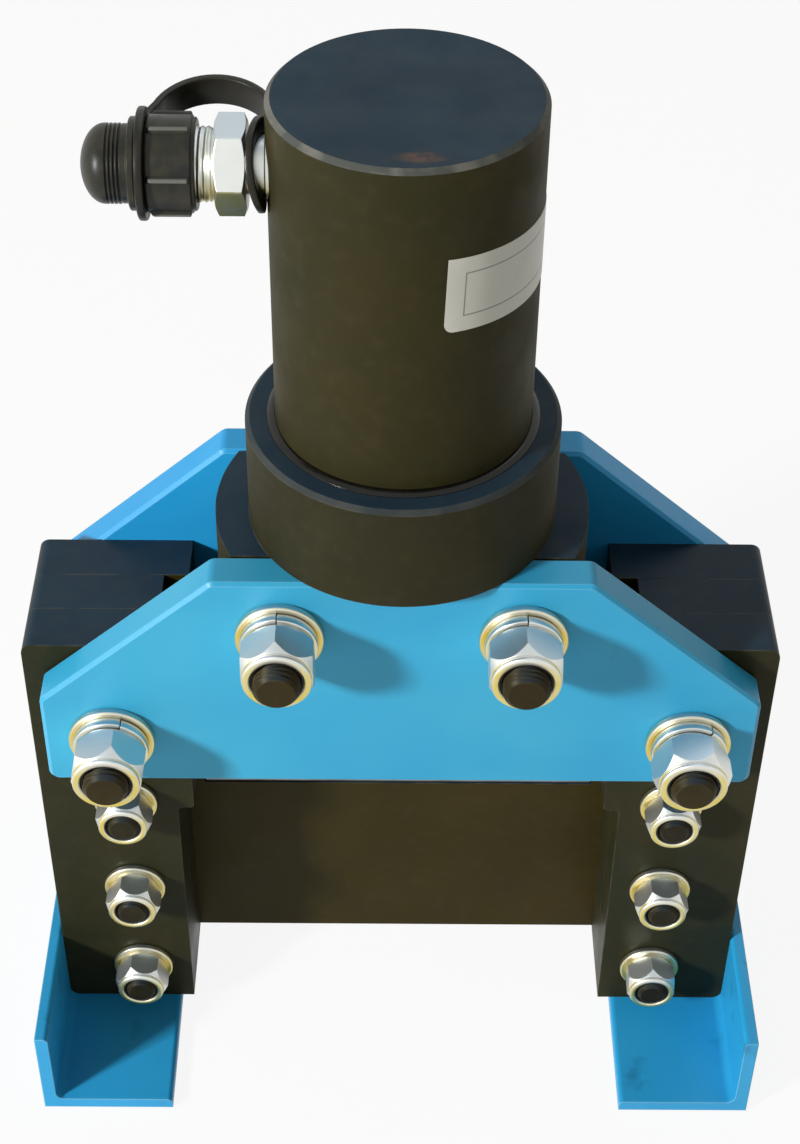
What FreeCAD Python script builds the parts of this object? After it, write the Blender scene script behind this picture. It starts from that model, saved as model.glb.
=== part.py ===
import FreeCAD, Part
import math
import os
from types import SimpleNamespace

import Sketcher

# Busbar cutting head: a hydraulic cylinder on a bolted frame drives a guillotine
# blade past a fixed one. X runs across the legs, the front faces -Y and Z is up.
# The origin is on the ground, under the axis of the cylinder.

SIZES = {
    # Legs, crossbar and window
    "window_width": 152.0,
    "leg_bolt_inset": 25.0,
    "leg_bolt_margin": 31.0,
    "relief_depth": 6.0,
    "leg_rise": 5.0,
    "side_layer": 19.0,
    "middle_layer": 18.0,
    "leg_corner_gap": 0.5,
    "relief_radius": 2.0,
    "crossbar_height": 87.0,
    "blade_lip_height": 18.0,
    "guide_depth": 9.0,
    "guide_ledge_gap": 2.0,
    # Blades and blade holder
    "blade_thickness": 12.0,
    "blade_height": 26.0,
    "blade_end_gap": 0.5,
    "blade_edge_land": 3.0,
    "blade_edge_relief": 0.6,
    "window_gap": 20.0,
    "holder_height": 52.0,
    "blade_reveal": 6.0,
    "holder_clearance": 0.05,
    "holder_end_clearance": 0.1,
    "holder_corner_radius": 3.0,
    "fork_pin_setback": 3.0,
    "holder_shoulder_inset": 28.0,
    "holder_shoulder_drop": 14.0,
    # Blade screws
    "blade_screw_radius": 4.0,
    "blade_screw_head_radius": 6.6,
    "blade_screw_head_height": 4.4,
    "blade_screw_length": 15.0,
    "blade_screw_inset": 18.0,
    "blade_screw_socket": 5.0,
    "screw_gap": 0.1,
    # Side plates
    "plate_thickness": 14.0,
    "plate_side_margin": 24.0,
    "plate_height": 95.0,
    "plate_end_height": 40.0,
    "plate_top_margin": 22.5,
    "plate_edge_bevel": 1.2,
    "plate_corner_radius": 4.0,
    # Cylinder base
    "base_gap": 2.0,
    "base_ledge": 11.5,
    "base_disc_height": 40.0,
    "collar_wall": 10.0,
    "collar_height": 40.0,
    "collar_bevel": 1.5,
    "barrel_seat_depth": 35.0,
    "thread_clearance": 0.05,
    "wiper_pocket_height": 6.0,
    "rod_seal_rise": 11.0,
    "rod_seal_height": 8.0,
    "rod_seal_width": 5.0,
    "rod_passage_gap": 0.3,
    "bush_wall": 4.0,
    "bush_seal_land": 4.0,
    # Barrel
    "bore_radius": 30.0,
    "barrel_wall": 12.5,
    "barrel_height": 152.0,
    "barrel_cap": 20.0,
    "barrel_bevel": 1.6,
    "port_drop": 24.0,
    "port_radius": 8.4,
    "port_depth": 9.0,
    "port_channel_radius": 3.0,
    "spot_face_gap": 0.6,
    "spot_face_depth": 1.5,
    "base_seal_rise": 5.0,
    "base_seal_width": 4.0,
    "base_seal_depth": 2.6,
    "base_seal_wire": 1.25,
    # Piston and rod
    "piston_height": 26.0,
    "piston_clearance": 0.06,
    "seal_clearance": 0.03,
    "piston_seal_height": 6.0,
    "piston_seal_depth": 4.0,
    "piston_seal_drop": 4.0,
    "guide_ring_height": 8.0,
    "guide_ring_depth": 2.0,
    "guide_ring_drop": 14.0,
    "piston_nut_height": 12.0,
    "piston_nut_wall": 5.0,
    "piston_stop_gap": 0.3,
    "rod_radius": 16.0,
    "rod_clearance": 0.04,
    "rod_shoulder": 5.0,
    "rod_fork_depth": 20.0,
    "rod_fork_gap": 0.1,
    "fork_pin_radius": 6.0,
    "fork_pin_gap": 0.05,
    "fork_pin_bevel": 0.8,
    "spring_wire": 6.0,
    "spring_gap": 2.0,
    "spring_pitch": 14.0,
    # Bolts through the side plates
    "large_bolt_radius": 8.0,
    "large_flats": 24.0,
    "large_head_height": 10.0,
    "large_washer_radius": 15.0,
    "large_washer_thickness": 3.0,
    "large_spring_washer_radius": 13.2,
    "large_spring_washer_thickness": 4.0,
    "large_nut_height": 16.0,
    "large_nut_hex_height": 13.7,
    "large_nut_collar_radius": 11.7,
    "large_bolt_reveal": 5.0,
    "base_bolt_inset": 23.0,
    "large_inner_rise": 16.8,
    "large_outer_rise": 22.0,
    "spring_washer_slit": 2.5,
    # Bolts through the legs
    "small_bolt_radius": 6.0,
    "small_flats": 18.0,
    "small_head_height": 7.5,
    "small_washer_radius": 11.6,
    "small_washer_thickness": 2.5,
    "small_nut_height": 12.0,
    "small_nut_hex_height": 10.3,
    "small_nut_collar_radius": 8.95,
    "small_bolt_reveal": 0.6,
    "small_first_rise": 21.0,
    "small_last_drop": 26.0,
    "bolt_hole_gap": 0.5,
    "bolt_end_bevel": 1.5,
    "nut_bore_gap": 0.02,
    "hex_bevel": 1.0,
    "nut_collar_round": 1.5,
    # Feet
    "foot_thickness": 5.0,
    "foot_width": 50.0,
    "foot_height": 43.0,
    "foot_overhang": 50.5,
    "foot_bend_radius": 3.5,
    "foot_toe_radius": 2.0,
    "foot_screw_radius": 4.0,
    "foot_screw_head_radius": 7.8,
    "foot_screw_head_height": 4.2,
    "foot_screw_length": 16.0,
    "foot_screw_socket": 5.0,
    "foot_screw_inset": 25.0,
    # Coupler at the oil port
    "adaptor_radius": 10.2,
    "adaptor_collar": 1.6,
    "adaptor_neck_radius": 9.0,
    "adaptor_neck_length": 5.45,
    "adaptor_bore": 3.2,
    "coupler_flats": 27.0,
    "coupler_hex_length": 9.6,
    "coupler_hex_bevel": 1.2,
    "coupler_thread_radius": 11.5,
    "coupler_thread_length": 14.5,
    "coupler_nose_step": 2.1,
    "coupler_nose_length": 6.0,
    "valve_stem_radius": 3.8,
    "valve_stem_gap": 0.2,
    "valve_head_radius": 6.35,
    "valve_head_gap": 0.05,
    "valve_head_length": 5.0,
    "valve_travel": 3.0,
    "valve_spring_gap": 0.7,
    "valve_spring_wire": 1.0,
    "valve_spring_pitch": 2.6,
    # Dust cap and strap
    "cap_gap": 5.5,
    "cap_wall": 3.1,
    "cap_lip_step": 0.7,
    "cap_lip_length": 1.6,
    "cap_sleeve_length": 13.3,
    "cap_rib_height": 1.3,
    "cap_rib_width": 2.6,
    "cap_rib_setback": 1.6,
    "cap_thread_gap": 0.1,
    "cap_groove_depth": 2.8,
    "cap_flange_step": 0.6,
    "cap_flange_length": 2.4,
    "cap_plug_step": 2.7,
    "cap_plug_length": 7.0,
    "cap_dome_length": 8.0,
    "strap_thickness": 2.6,
    "strap_width": 10.4,
    "strap_ring_wall": 5.0,
    "strap_ring_gap": 0.2,
    "strap_loop_wall": 5.0,
    "strap_loop_gap": 0.4,
    "strap_tab_rise": 1.0,
}

SMALL_ROW_COUNT = 3
SCREW_PLACE_SHARES = (-1, 0, 1)
CAP_RIB_COUNT = 6
HEX_CORNER_SHARE = 1.0 / math.sqrt(3.0)
COUPLER_HEX_ANGLE = 51.4
LARGE_NUT_ANGLE = 90.0
CAP_LEAN_ANGLE = 42.0
STRAP_LEAN_ANGLE = 80.0
DIGITS = 9
MATCH = 1e-3

doc = FreeCAD.newDocument("busbar_cutting_head")
sheet = doc.addObject("Spreadsheet::Sheet", "sizes")


class Size:
    """A length, with the expression that binds it to the sheet."""

    def __init__(self, value, text):
        self.value = float(value)
        self.text = text

    def __add__(self, other):
        other = as_size(other)
        return Size(self.value + other.value, f"({self.text} + {other.text})")

    def __sub__(self, other):
        other = as_size(other)
        return Size(self.value - other.value, f"({self.text} - {other.text})")

    def __mul__(self, share):
        return Size(self.value * share, f"({self.text} * {share!r})")

    def __truediv__(self, share):
        return Size(self.value / share, f"({self.text} / {share!r})")

    def __neg__(self):
        return Size(-self.value, f"(0 - {self.text})")

    __rmul__ = __mul__


def as_size(item):
    return item if isinstance(item, Size) else Size(item, repr(float(item)))


for row, (alias, number) in enumerate(SIZES.items(), start=1):
    sheet.set(f"A{row}", alias)
    sheet.set(f"B{row}", str(number))
    sheet.setAlias(f"B{row}", alias)
doc.recompute()
s = SimpleNamespace(**{alias: Size(number, f"sizes.{alias}") for alias, number in SIZES.items()})
ZERO = Size(0, "0")

subparts = []


# Construction steps shared by the sub-parts

def bind(item, prop, size):
    item.setExpression(prop, as_size(size).text)


def new_body(name, keep=True):
    body = doc.addObject("PartDesign::Body", name)
    body.Label = name
    if keep:
        subparts.append(body)
    return body


def attach(body, sketch, role, offset):
    plane = next(f for f in body.Origin.OriginFeatures if f.Role == role)
    sketch.AttachmentSupport = [(plane, "")]
    sketch.MapMode = "FlatFace"
    if offset is not None:
        bind(sketch, "AttachmentOffset.Base.z", offset)


def pin_point(sketch, geometry, end, x, y):
    for kind, axis, coordinate in (("DistanceX", -2, x), ("DistanceY", -1, y)):
        if coordinate is None:
            continue
        size = as_size(coordinate)
        if size.value == 0 and not isinstance(coordinate, Size):
            sketch.addConstraint(Sketcher.Constraint("PointOnObject", geometry, end, axis))
        else:
            index = sketch.addConstraint(Sketcher.Constraint(kind, -1, 1, geometry, end, size.value))
            bind(sketch, f"Constraints[{index}]", size)


def outline(body, name, role, points, offset=None):
    """Closed polygon whose corners are bound to named sizes."""
    sketch = body.newObject("Sketcher::SketchObject", name)
    attach(body, sketch, role, offset)
    corners = [FreeCAD.Vector(as_size(x).value, as_size(y).value, 0) for x, y in points]
    count = len(corners)
    for i in range(count):
        sketch.addGeometry(Part.LineSegment(corners[i], corners[(i + 1) % count]))
    for i in range(count):
        sketch.addConstraint(Sketcher.Constraint("Coincident", i, 2, (i + 1) % count, 1))
    for i, (x, y) in enumerate(points):
        pin_point(sketch, i, 1, x, y)
    return sketch


def circles(body, name, role, places, radius, offset=None):
    """Circles of one radius at the places given."""
    sketch = body.newObject("Sketcher::SketchObject", name)
    attach(body, sketch, role, offset)
    for i, (x, y) in enumerate(places):
        centre = FreeCAD.Vector(as_size(x).value, as_size(y).value, 0)
        sketch.addGeometry(Part.Circle(centre, FreeCAD.Vector(0, 0, 1), radius.value))
        pin_point(sketch, i, 3, x, y)
        index = sketch.addConstraint(Sketcher.Constraint("Radius", i, radius.value))
        bind(sketch, f"Constraints[{index}]", radius)
    return sketch


def hexagon(body, name, role, flats, offset=None, first_corner=0):
    """Hexagon across the flats given, its first corner at that many degrees."""
    corner = flats * HEX_CORNER_SHARE
    angles = [math.radians(60 * i + first_corner) for i in range(6)]
    points = [(corner * round(math.cos(a), DIGITS), corner * round(math.sin(a), DIGITS)) for a in angles]
    return outline(body, name, role, points, offset)


def pad(body, sketch, length, both_ways=False, backwards=False):
    feature = body.newObject("PartDesign::Pad", sketch.Name + "_pad")
    feature.Profile = sketch
    bind(feature, "Length", length)
    if both_ways:
        feature.Midplane = True
    feature.Reversed = backwards
    sketch.Visibility = False
    return feature


def pocket(body, sketch, length=None, both_ways=False, backwards=False):
    feature = body.newObject("PartDesign::Pocket", sketch.Name + "_pocket")
    feature.Profile = sketch
    if length is None:
        feature.Type = "ThroughAll"
    else:
        bind(feature, "Length", length)
    if both_ways:
        feature.Midplane = True
    feature.Reversed = backwards
    sketch.Visibility = False
    return feature


def turn(body, sketch, axis="V_Axis", cut=False):
    kind = "PartDesign::Groove" if cut else "PartDesign::Revolution"
    feature = body.newObject(kind, sketch.Name + ("_groove" if cut else "_turned"))
    feature.Profile = sketch
    feature.ReferenceAxis = (sketch, [axis])
    feature.Angle = 360
    sketch.Visibility = False
    return feature


def dress(body, kind, base, edges, size):
    """Fillet or chamfer on the edges that the test picks."""
    doc.recompute()
    names = [f"Edge{i}" for i, edge in enumerate(base.Shape.Edges, start=1) if edges(edge)]
    feature = body.newObject(f"PartDesign::{kind}", f"{base.Name}_{kind.lower()}")
    feature.Base = (base, names)
    bind(feature, "Radius" if kind == "Fillet" else "Size", size)
    return feature


def lift(item, x=None, y=None, z=None):
    for axis, size in (("x", x), ("y", y), ("z", z)):
        if size is not None:
            bind(item, f"Placement.Base.{axis}", size)
    return item


def lean(item, angle):
    """Turns a piece about the coupler's axis, its top towards the rear."""
    item.Placement = FreeCAD.Placement(FreeCAD.Vector(0, 0, 0), FreeCAD.Rotation(AXIS_X, -angle))
    return item


def along(edge, direction):
    if edge.Curve.TypeId != "Part::GeomLine":
        return False
    return abs(abs(edge.tangentAt(edge.FirstParameter).dot(direction)) - 1) < MATCH


def group(name, master, places):
    """One node of like pieces: a link to the master piece at each place."""
    links = []
    for i, (x, y, z) in enumerate(places, start=1):
        link = doc.addObject("App::Link", f"{name}_{i}")
        link.LinkedObject = master
        lift(link, x, y, z)
        links.append(link)
    node = doc.addObject("Part::Compound", name)
    node.Label = name
    node.Links = links
    subparts.append(node)
    return node


AXIS_X = FreeCAD.Vector(1, 0, 0)
AXIS_Y = FreeCAD.Vector(0, 1, 0)

# Faces, levels and places that several sub-parts share, worked out from the window outwards

half_depth = s.side_layer + s.middle_layer / 2
inner_face = s.middle_layer / 2
half_window = s.window_width / 2
bolt_x = half_window + s.leg_bolt_inset
half_frame = bolt_x + s.leg_bolt_margin
half_lower_gap = half_window + s.relief_depth
slot_x = half_window + s.guide_depth
leg_corner_radius = s.foot_bend_radius + s.leg_corner_gap
leg_foot = s.foot_thickness
crossbar_top = leg_foot + s.crossbar_height
lower_edge = crossbar_top + s.blade_height
relief_level = lower_edge
upper_edge = lower_edge + s.window_gap
holder_bottom = upper_edge + s.blade_reveal
holder_top = holder_bottom + s.holder_height
leg_top = holder_top + s.leg_rise
base_bottom = leg_top + s.base_gap
plate_top = base_bottom + s.base_disc_height
plate_bottom = plate_top - s.plate_height
collar_top = plate_top + s.collar_height
barrel_seat = collar_top - s.barrel_seat_depth
barrel_top = barrel_seat + s.barrel_height
chamber_top = barrel_top - s.barrel_cap
piston_top = chamber_top - s.piston_stop_gap - s.piston_nut_height
piston_bottom = piston_top - s.piston_height
port_level = barrel_top - s.port_drop

barrel_radius = s.bore_radius + s.barrel_wall
collar_radius = barrel_radius + s.collar_wall
base_disc_radius = collar_radius + s.base_ledge
inner_bolt_x = base_disc_radius - s.base_bolt_inset
rod_groove_radius = s.rod_radius + s.rod_seal_width
bush_radius = s.rod_radius + s.bush_wall
rod_seal_bottom = base_bottom + s.rod_seal_rise
rod_seal_top = rod_seal_bottom + s.rod_seal_height
bush_bottom = rod_seal_top + s.bush_seal_land
rod_spigot_radius = s.rod_radius - s.rod_shoulder
piston_nut_flats = (rod_spigot_radius + s.piston_nut_wall) * 2
fork_pin_level = holder_top - s.rod_fork_depth / 2

large_hole_radius = s.large_bolt_radius + s.bolt_hole_gap
small_hole_radius = s.small_bolt_radius + s.bolt_hole_gap
large_inner_level = base_bottom + s.large_inner_rise
large_outer_level = plate_bottom + s.large_outer_rise
small_first_level = leg_foot + s.small_first_rise
small_pitch = (plate_bottom - s.small_last_drop - small_first_level) / (SMALL_ROW_COUNT - 1)
small_levels = [small_first_level + small_pitch * i for i in range(SMALL_ROW_COUNT)]
large_places = [
    (-inner_bolt_x, large_inner_level),
    (inner_bolt_x, large_inner_level),
    (-bolt_x, large_outer_level),
    (bolt_x, large_outer_level),
]

foot_outer = half_frame + s.foot_thickness
foot_inner = foot_outer - s.foot_width
foot_screw_x = foot_inner + s.foot_screw_inset
foot_screw_y = half_depth - s.side_layer / 2

screw_reach = half_window - s.blade_screw_inset
screw_xs = [screw_reach * share for share in SCREW_PLACE_SHARES]
lower_screw_level = crossbar_top + s.blade_lip_height / 2
upper_screw_level = upper_edge + s.blade_height - s.blade_lip_height / 2
lower_screw_places = [(x, lower_screw_level) for x in screw_xs]
upper_screw_places = [(x, upper_screw_level) for x in screw_xs]


def side_places(side):
    return [(side * bolt_x, level) for level in small_levels]


def near(value, size):
    return abs(value - size.value) < MATCH


def on_outer_side(edge):
    return along(edge, AXIS_Y) and near(abs(edge.CenterOfMass.x), half_frame)


# Front legs: two thick flat bars, wider above the relief where they guide the busbar

def front_leg(name, side):
    body = new_body(name)
    points = [
        (side * half_lower_gap, leg_foot),
        (side * half_frame, leg_foot),
        (side * half_frame, leg_top),
        (side * half_window, leg_top),
        (side * half_window, relief_level),
        (side * half_lower_gap, relief_level),
    ]
    pad(body, outline(body, name + "_outline", "XZ_Plane", points, inner_face), s.side_layer)
    small = circles(body, name + "_small_holes", "XZ_Plane", side_places(side), small_hole_radius)
    pocket(body, small, None, True)
    large = circles(body, name + "_large_hole", "XZ_Plane", [(side * bolt_x, large_outer_level)],
                    large_hole_radius)
    pocket(body, large, None, True)
    tap = circles(body, name + "_screw_hole", "XY_Plane", [(side * foot_screw_x, -foot_screw_y)],
                  s.foot_screw_radius, leg_foot)
    last = pocket(body, tap, s.foot_screw_length - s.foot_thickness + s.screw_gap, False, True)
    last = dress(body, "Fillet", last, on_outer_side, leg_corner_radius)
    dress(body, "Fillet", last, lambda e: along(e, AXIS_Y) and near(e.CenterOfMass.z, relief_level),
          s.relief_radius)
    return body


front_leg("front_leg_left", -1)
front_leg("front_leg_right", 1)


# Guide spacers: the middle layer, set back above the ledge so that the holder runs in a slot

def guide_spacer(name, side):
    body = new_body(name)
    ledge = relief_level - s.guide_ledge_gap
    points = [
        (side * half_lower_gap, leg_foot),
        (side * half_frame, leg_foot),
        (side * half_frame, leg_top),
        (side * slot_x, leg_top),
        (side * slot_x, ledge),
        (side * half_lower_gap, ledge),
    ]
    sketch = outline(body, name + "_outline", "XZ_Plane", points)
    pad(body, sketch, s.middle_layer, True)
    small = circles(body, name + "_small_holes", "XZ_Plane", side_places(side), small_hole_radius)
    pocket(body, small, None, True)
    large = circles(body, name + "_large_hole", "XZ_Plane", [(side * bolt_x, large_outer_level)],
                    large_hole_radius)
    last = pocket(body, large, None, True)
    dress(body, "Fillet", last, on_outer_side, leg_corner_radius)
    return body


guide_spacer("guide_spacer_left", -1)
guide_spacer("guide_spacer_right", 1)


# Rear frame: one thick plate, both rear legs and the crossbar that carries the lower blade

def rear_frame():
    body = new_body("rear_frame")
    lip_top = crossbar_top + s.blade_lip_height
    points = [
        (-half_frame, leg_foot),
        (half_frame, leg_foot),
        (half_frame, leg_top),
        (half_window, leg_top),
        (half_window, lip_top),
        (-half_window, lip_top),
        (-half_window, leg_top),
        (-half_frame, leg_top),
    ]
    pad(body, outline(body, "rear_frame_outline", "XZ_Plane", points, -half_depth), s.side_layer)
    seat = [
        (-half_window, crossbar_top),
        (half_window, crossbar_top),
        (half_window, lip_top),
        (-half_window, lip_top),
    ]
    pocket(body, outline(body, "lower_blade_seat", "XZ_Plane", seat, -(inner_face + s.blade_thickness)),
           s.side_layer, False, True)
    small = circles(body, "rear_small_holes", "XZ_Plane", side_places(-1) + side_places(1),
                    small_hole_radius)
    pocket(body, small, None, True)
    outer_places = [(side * bolt_x, large_outer_level) for side in (-1, 1)]
    pocket(body, circles(body, "rear_large_holes", "XZ_Plane", outer_places, large_hole_radius), None, True)
    screws = circles(body, "lower_screw_holes", "XZ_Plane", lower_screw_places,
                     s.blade_screw_radius + s.screw_gap, -half_depth)
    pocket(body, screws, s.side_layer, False, True)
    heads = circles(body, "lower_screw_heads", "XZ_Plane", lower_screw_places,
                    s.blade_screw_head_radius + s.screw_gap, -half_depth)
    pocket(body, heads, s.blade_screw_head_height, False, True)
    taps = circles(body, "rear_foot_screw_holes", "XY_Plane",
                   [(side * foot_screw_x, foot_screw_y) for side in (-1, 1)], s.foot_screw_radius, leg_foot)
    last = pocket(body, taps, s.foot_screw_length - s.foot_thickness + s.screw_gap, False, True)
    dress(body, "Fillet", last, on_outer_side, leg_corner_radius)
    return body


rear_frame()


# Blades: two like bars, relieved behind the cutting edge

def blade(name, edge_level, upwards, shear_face, away, screw_level):
    body = new_body(name)
    back = shear_face + s.blade_thickness * away
    relief = shear_face + s.blade_edge_relief * away
    root_level = edge_level - s.blade_height * upwards
    land_level = edge_level - s.blade_edge_land * upwards
    waist_level = land_level - s.blade_edge_land * upwards
    points = [
        (shear_face, edge_level),
        (back, edge_level),
        (back, root_level),
        (relief, root_level),
        (relief, waist_level),
        (shear_face, land_level),
    ]
    length = s.window_width - s.blade_end_gap * 2
    pad(body, outline(body, name + "_section", "YZ_Plane", points), length, True)
    taps = circles(body, name + "_screw_holes", "XZ_Plane", [(x, screw_level) for x in screw_xs],
                   s.blade_screw_radius, -back)
    pocket(body, taps, s.blade_thickness - s.blade_edge_land, False, away > 0)
    return body


shear_face = inner_face
blade("lower_blade", lower_edge, 1, shear_face, 1, lower_screw_level)
blade("upper_blade", upper_edge, -1, shear_face - s.holder_clearance, -1, upper_screw_level)


# Blade holder: a crosshead that runs in the slots behind the front legs

def blade_holder():
    body = new_body("blade_holder")
    shoulder = holder_top - s.holder_shoulder_drop
    half_width = slot_x - s.holder_end_clearance
    half_shoulder = half_window - s.holder_shoulder_inset
    thickness = s.middle_layer - s.holder_clearance * 2
    points = [
        (-half_width, holder_bottom),
        (half_width, holder_bottom),
        (half_width, shoulder),
        (half_shoulder, holder_top),
        (-half_shoulder, holder_top),
        (-half_width, shoulder),
    ]
    plate = pad(body, outline(body, "holder_outline", "XZ_Plane", points), thickness, True)
    dress(body, "Fillet", plate, lambda e: along(e, AXIS_Y) and near(e.CenterOfMass.z, holder_bottom),
          s.holder_corner_radius)
    seat_front = shear_face - s.holder_clearance - s.blade_thickness
    blade_top = upper_edge + s.blade_height
    seat = [
        (-half_width, holder_bottom),
        (half_width, holder_bottom),
        (half_width, blade_top),
        (-half_width, blade_top),
    ]
    pocket(body, outline(body, "upper_blade_seat", "XZ_Plane", seat, -seat_front), s.middle_layer)
    screws = circles(body, "upper_screw_holes", "XZ_Plane", upper_screw_places,
                     s.blade_screw_radius + s.screw_gap)
    pocket(body, screws, None, True)
    heads = circles(body, "upper_screw_heads", "XZ_Plane", upper_screw_places,
                    s.blade_screw_head_radius + s.screw_gap, s.middle_layer / 2 - s.holder_clearance)
    pocket(body, heads, s.blade_screw_head_height)
    pin = circles(body, "holder_pin_hole", "XZ_Plane", [(0, fork_pin_level)],
                  s.fork_pin_radius + s.fork_pin_gap)
    pocket(body, pin, None, True)
    return body


blade_holder()


# Piston rod: spigot through the piston above, fork over the holder below

def piston_rod():
    body = new_body("piston_rod")
    bottom = holder_top - s.rod_fork_depth
    points = [
        (0, bottom),
        (s.rod_radius, bottom),
        (s.rod_radius, piston_bottom),
        (rod_spigot_radius, piston_bottom),
        (rod_spigot_radius, piston_top + s.piston_nut_height),
        (0, piston_top + s.piston_nut_height),
    ]
    turn(body, outline(body, "rod_profile", "XZ_Plane", points))
    half_slot = s.middle_layer / 2 + s.rod_fork_gap
    slot = [
        (-half_slot, bottom),
        (half_slot, bottom),
        (half_slot, holder_top),
        (-half_slot, holder_top),
    ]
    pocket(body, outline(body, "fork_slot", "YZ_Plane", slot), s.rod_radius * 4, True)
    pin = circles(body, "fork_pin_hole", "XZ_Plane", [(0, fork_pin_level)],
                  s.fork_pin_radius + s.fork_pin_gap)
    pocket(body, pin, None, True)
    return body


def fork_pin():
    body = new_body("fork_pin")
    end = s.rod_radius - s.fork_pin_setback
    points = [
        (-end, 0),
        (-end, s.fork_pin_radius - s.fork_pin_bevel),
        (s.fork_pin_bevel - end, s.fork_pin_radius),
        (end - s.fork_pin_bevel, s.fork_pin_radius),
        (end, s.fork_pin_radius - s.fork_pin_bevel),
        (end, 0),
    ]
    turn(body, outline(body, "fork_pin_profile", "YZ_Plane", points), "H_Axis")
    lift(body, z=fork_pin_level)
    return body


piston_rod()
fork_pin()


# Piston: grooves for the seal and the guide ring, held to the rod by a nut

def piston():
    body = new_body("piston")
    face = s.bore_radius - s.piston_clearance
    seal_top = piston_top - s.piston_seal_drop
    seal_bottom = seal_top - s.piston_seal_height
    ring_top = piston_top - s.guide_ring_drop
    ring_bottom = ring_top - s.guide_ring_height
    points = [
        (rod_spigot_radius, piston_bottom),
        (face, piston_bottom),
        (face, ring_bottom),
        (face - s.guide_ring_depth, ring_bottom),
        (face - s.guide_ring_depth, ring_top),
        (face, ring_top),
        (face, seal_bottom),
        (face - s.piston_seal_depth, seal_bottom),
        (face - s.piston_seal_depth, seal_top),
        (face, seal_top),
        (face, piston_top),
        (rod_spigot_radius, piston_top),
    ]
    turn(body, outline(body, "piston_profile", "XZ_Plane", points))
    return body


def ring(name, inner, outer, bottom, top):
    body = new_body(name)
    points = [(inner, bottom), (outer, bottom), (outer, top), (inner, top)]
    turn(body, outline(body, name + "_profile", "XZ_Plane", points))
    return body


def piston_seal():
    """Lip seal: the pressure side is hollowed between its two lips."""
    body = new_body("piston_seal")
    top = piston_top - s.piston_seal_drop
    bottom = top - s.piston_seal_height
    outer = s.bore_radius - s.seal_clearance
    inner = s.bore_radius - s.piston_clearance - s.piston_seal_depth
    middle = (inner + outer) / 2
    wall = s.piston_seal_depth / 4
    points = [
        (inner, bottom),
        (outer, bottom),
        (outer, top),
        (outer - wall, top),
        (middle, top - s.piston_seal_height / 2),
        (inner + wall, top),
        (inner, top),
    ]
    turn(body, outline(body, "piston_seal_profile", "XZ_Plane", points))
    return body


def piston_nut():
    body = new_body("piston_nut")
    sketch = hexagon(body, "piston_nut_hex", "XY_Plane", piston_nut_flats, piston_top)
    pad(body, sketch, s.piston_nut_height)
    hole = circles(body, "piston_nut_hole", "XY_Plane", [(0, 0)], rod_spigot_radius + s.nut_bore_gap)
    pocket(body, hole, None, True)
    return body


piston()
piston_seal()
ring_top_level = piston_top - s.guide_ring_drop
ring("piston_guide_ring", s.bore_radius - s.piston_clearance - s.guide_ring_depth,
     s.bore_radius - s.seal_clearance, ring_top_level - s.guide_ring_height, ring_top_level)
piston_nut()


# Cylinder base: flanged disc between the side plates, collar above them

def cylinder_base():
    body = new_body("cylinder_base")
    passage = s.rod_radius + s.rod_passage_gap
    points = [
        (rod_groove_radius, base_bottom),
        (base_disc_radius, base_bottom),
        (base_disc_radius, plate_top),
        (collar_radius, plate_top),
        (collar_radius, collar_top - s.collar_bevel),
        (collar_radius - s.collar_bevel, collar_top),
        (barrel_radius + s.thread_clearance, collar_top),
        (barrel_radius + s.thread_clearance, barrel_seat),
        (bush_radius, barrel_seat),
        (bush_radius, bush_bottom),
        (passage, bush_bottom),
        (passage, rod_seal_top),
        (rod_groove_radius, rod_seal_top),
        (rod_groove_radius, rod_seal_bottom),
        (passage, rod_seal_bottom),
        (passage, base_bottom + s.wiper_pocket_height),
        (rod_groove_radius, base_bottom + s.wiper_pocket_height),
    ]
    turn(body, outline(body, "base_profile", "XZ_Plane", points))
    reach = base_disc_radius * 2
    for name, side in (("front_flat", -1), ("rear_flat", 1)):
        flat = [
            (-reach, side * half_depth),
            (reach, side * half_depth),
            (reach, side * reach),
            (-reach, side * reach),
        ]
        cut = outline(body, name, "XY_Plane", flat, plate_top)
        pocket(body, cut, s.base_disc_height)
    places = [(side * inner_bolt_x, large_inner_level) for side in (-1, 1)]
    pocket(body, circles(body, "base_bolt_holes", "XZ_Plane", places, large_hole_radius), None, True)
    return body


cylinder_base()
ring("rod_bush", s.rod_radius + s.rod_clearance, bush_radius, bush_bottom, barrel_seat)
ring("rod_seal", s.rod_radius + s.seal_clearance, rod_groove_radius, rod_seal_bottom, rod_seal_top)


def rod_wiper():
    """Scraper ring, its lip drawn in round the rod at the mouth of the base."""
    body = new_body("rod_wiper")
    lip = s.rod_radius + s.seal_clearance
    heel = s.rod_radius + s.rod_passage_gap
    top = base_bottom + s.wiper_pocket_height
    points = [
        (lip, base_bottom),
        (heel + s.rod_passage_gap * 2, base_bottom),
        (rod_groove_radius, base_bottom + s.wiper_pocket_height / 4),
        (rod_groove_radius, top),
        (heel, top),
        (heel, base_bottom + s.wiper_pocket_height / 4),
    ]
    turn(body, outline(body, "rod_wiper_profile", "XZ_Plane", points))
    return body


rod_wiper()


# Barrel: a cup turned over, screwed into the collar, with the oil port near its closed end

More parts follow.
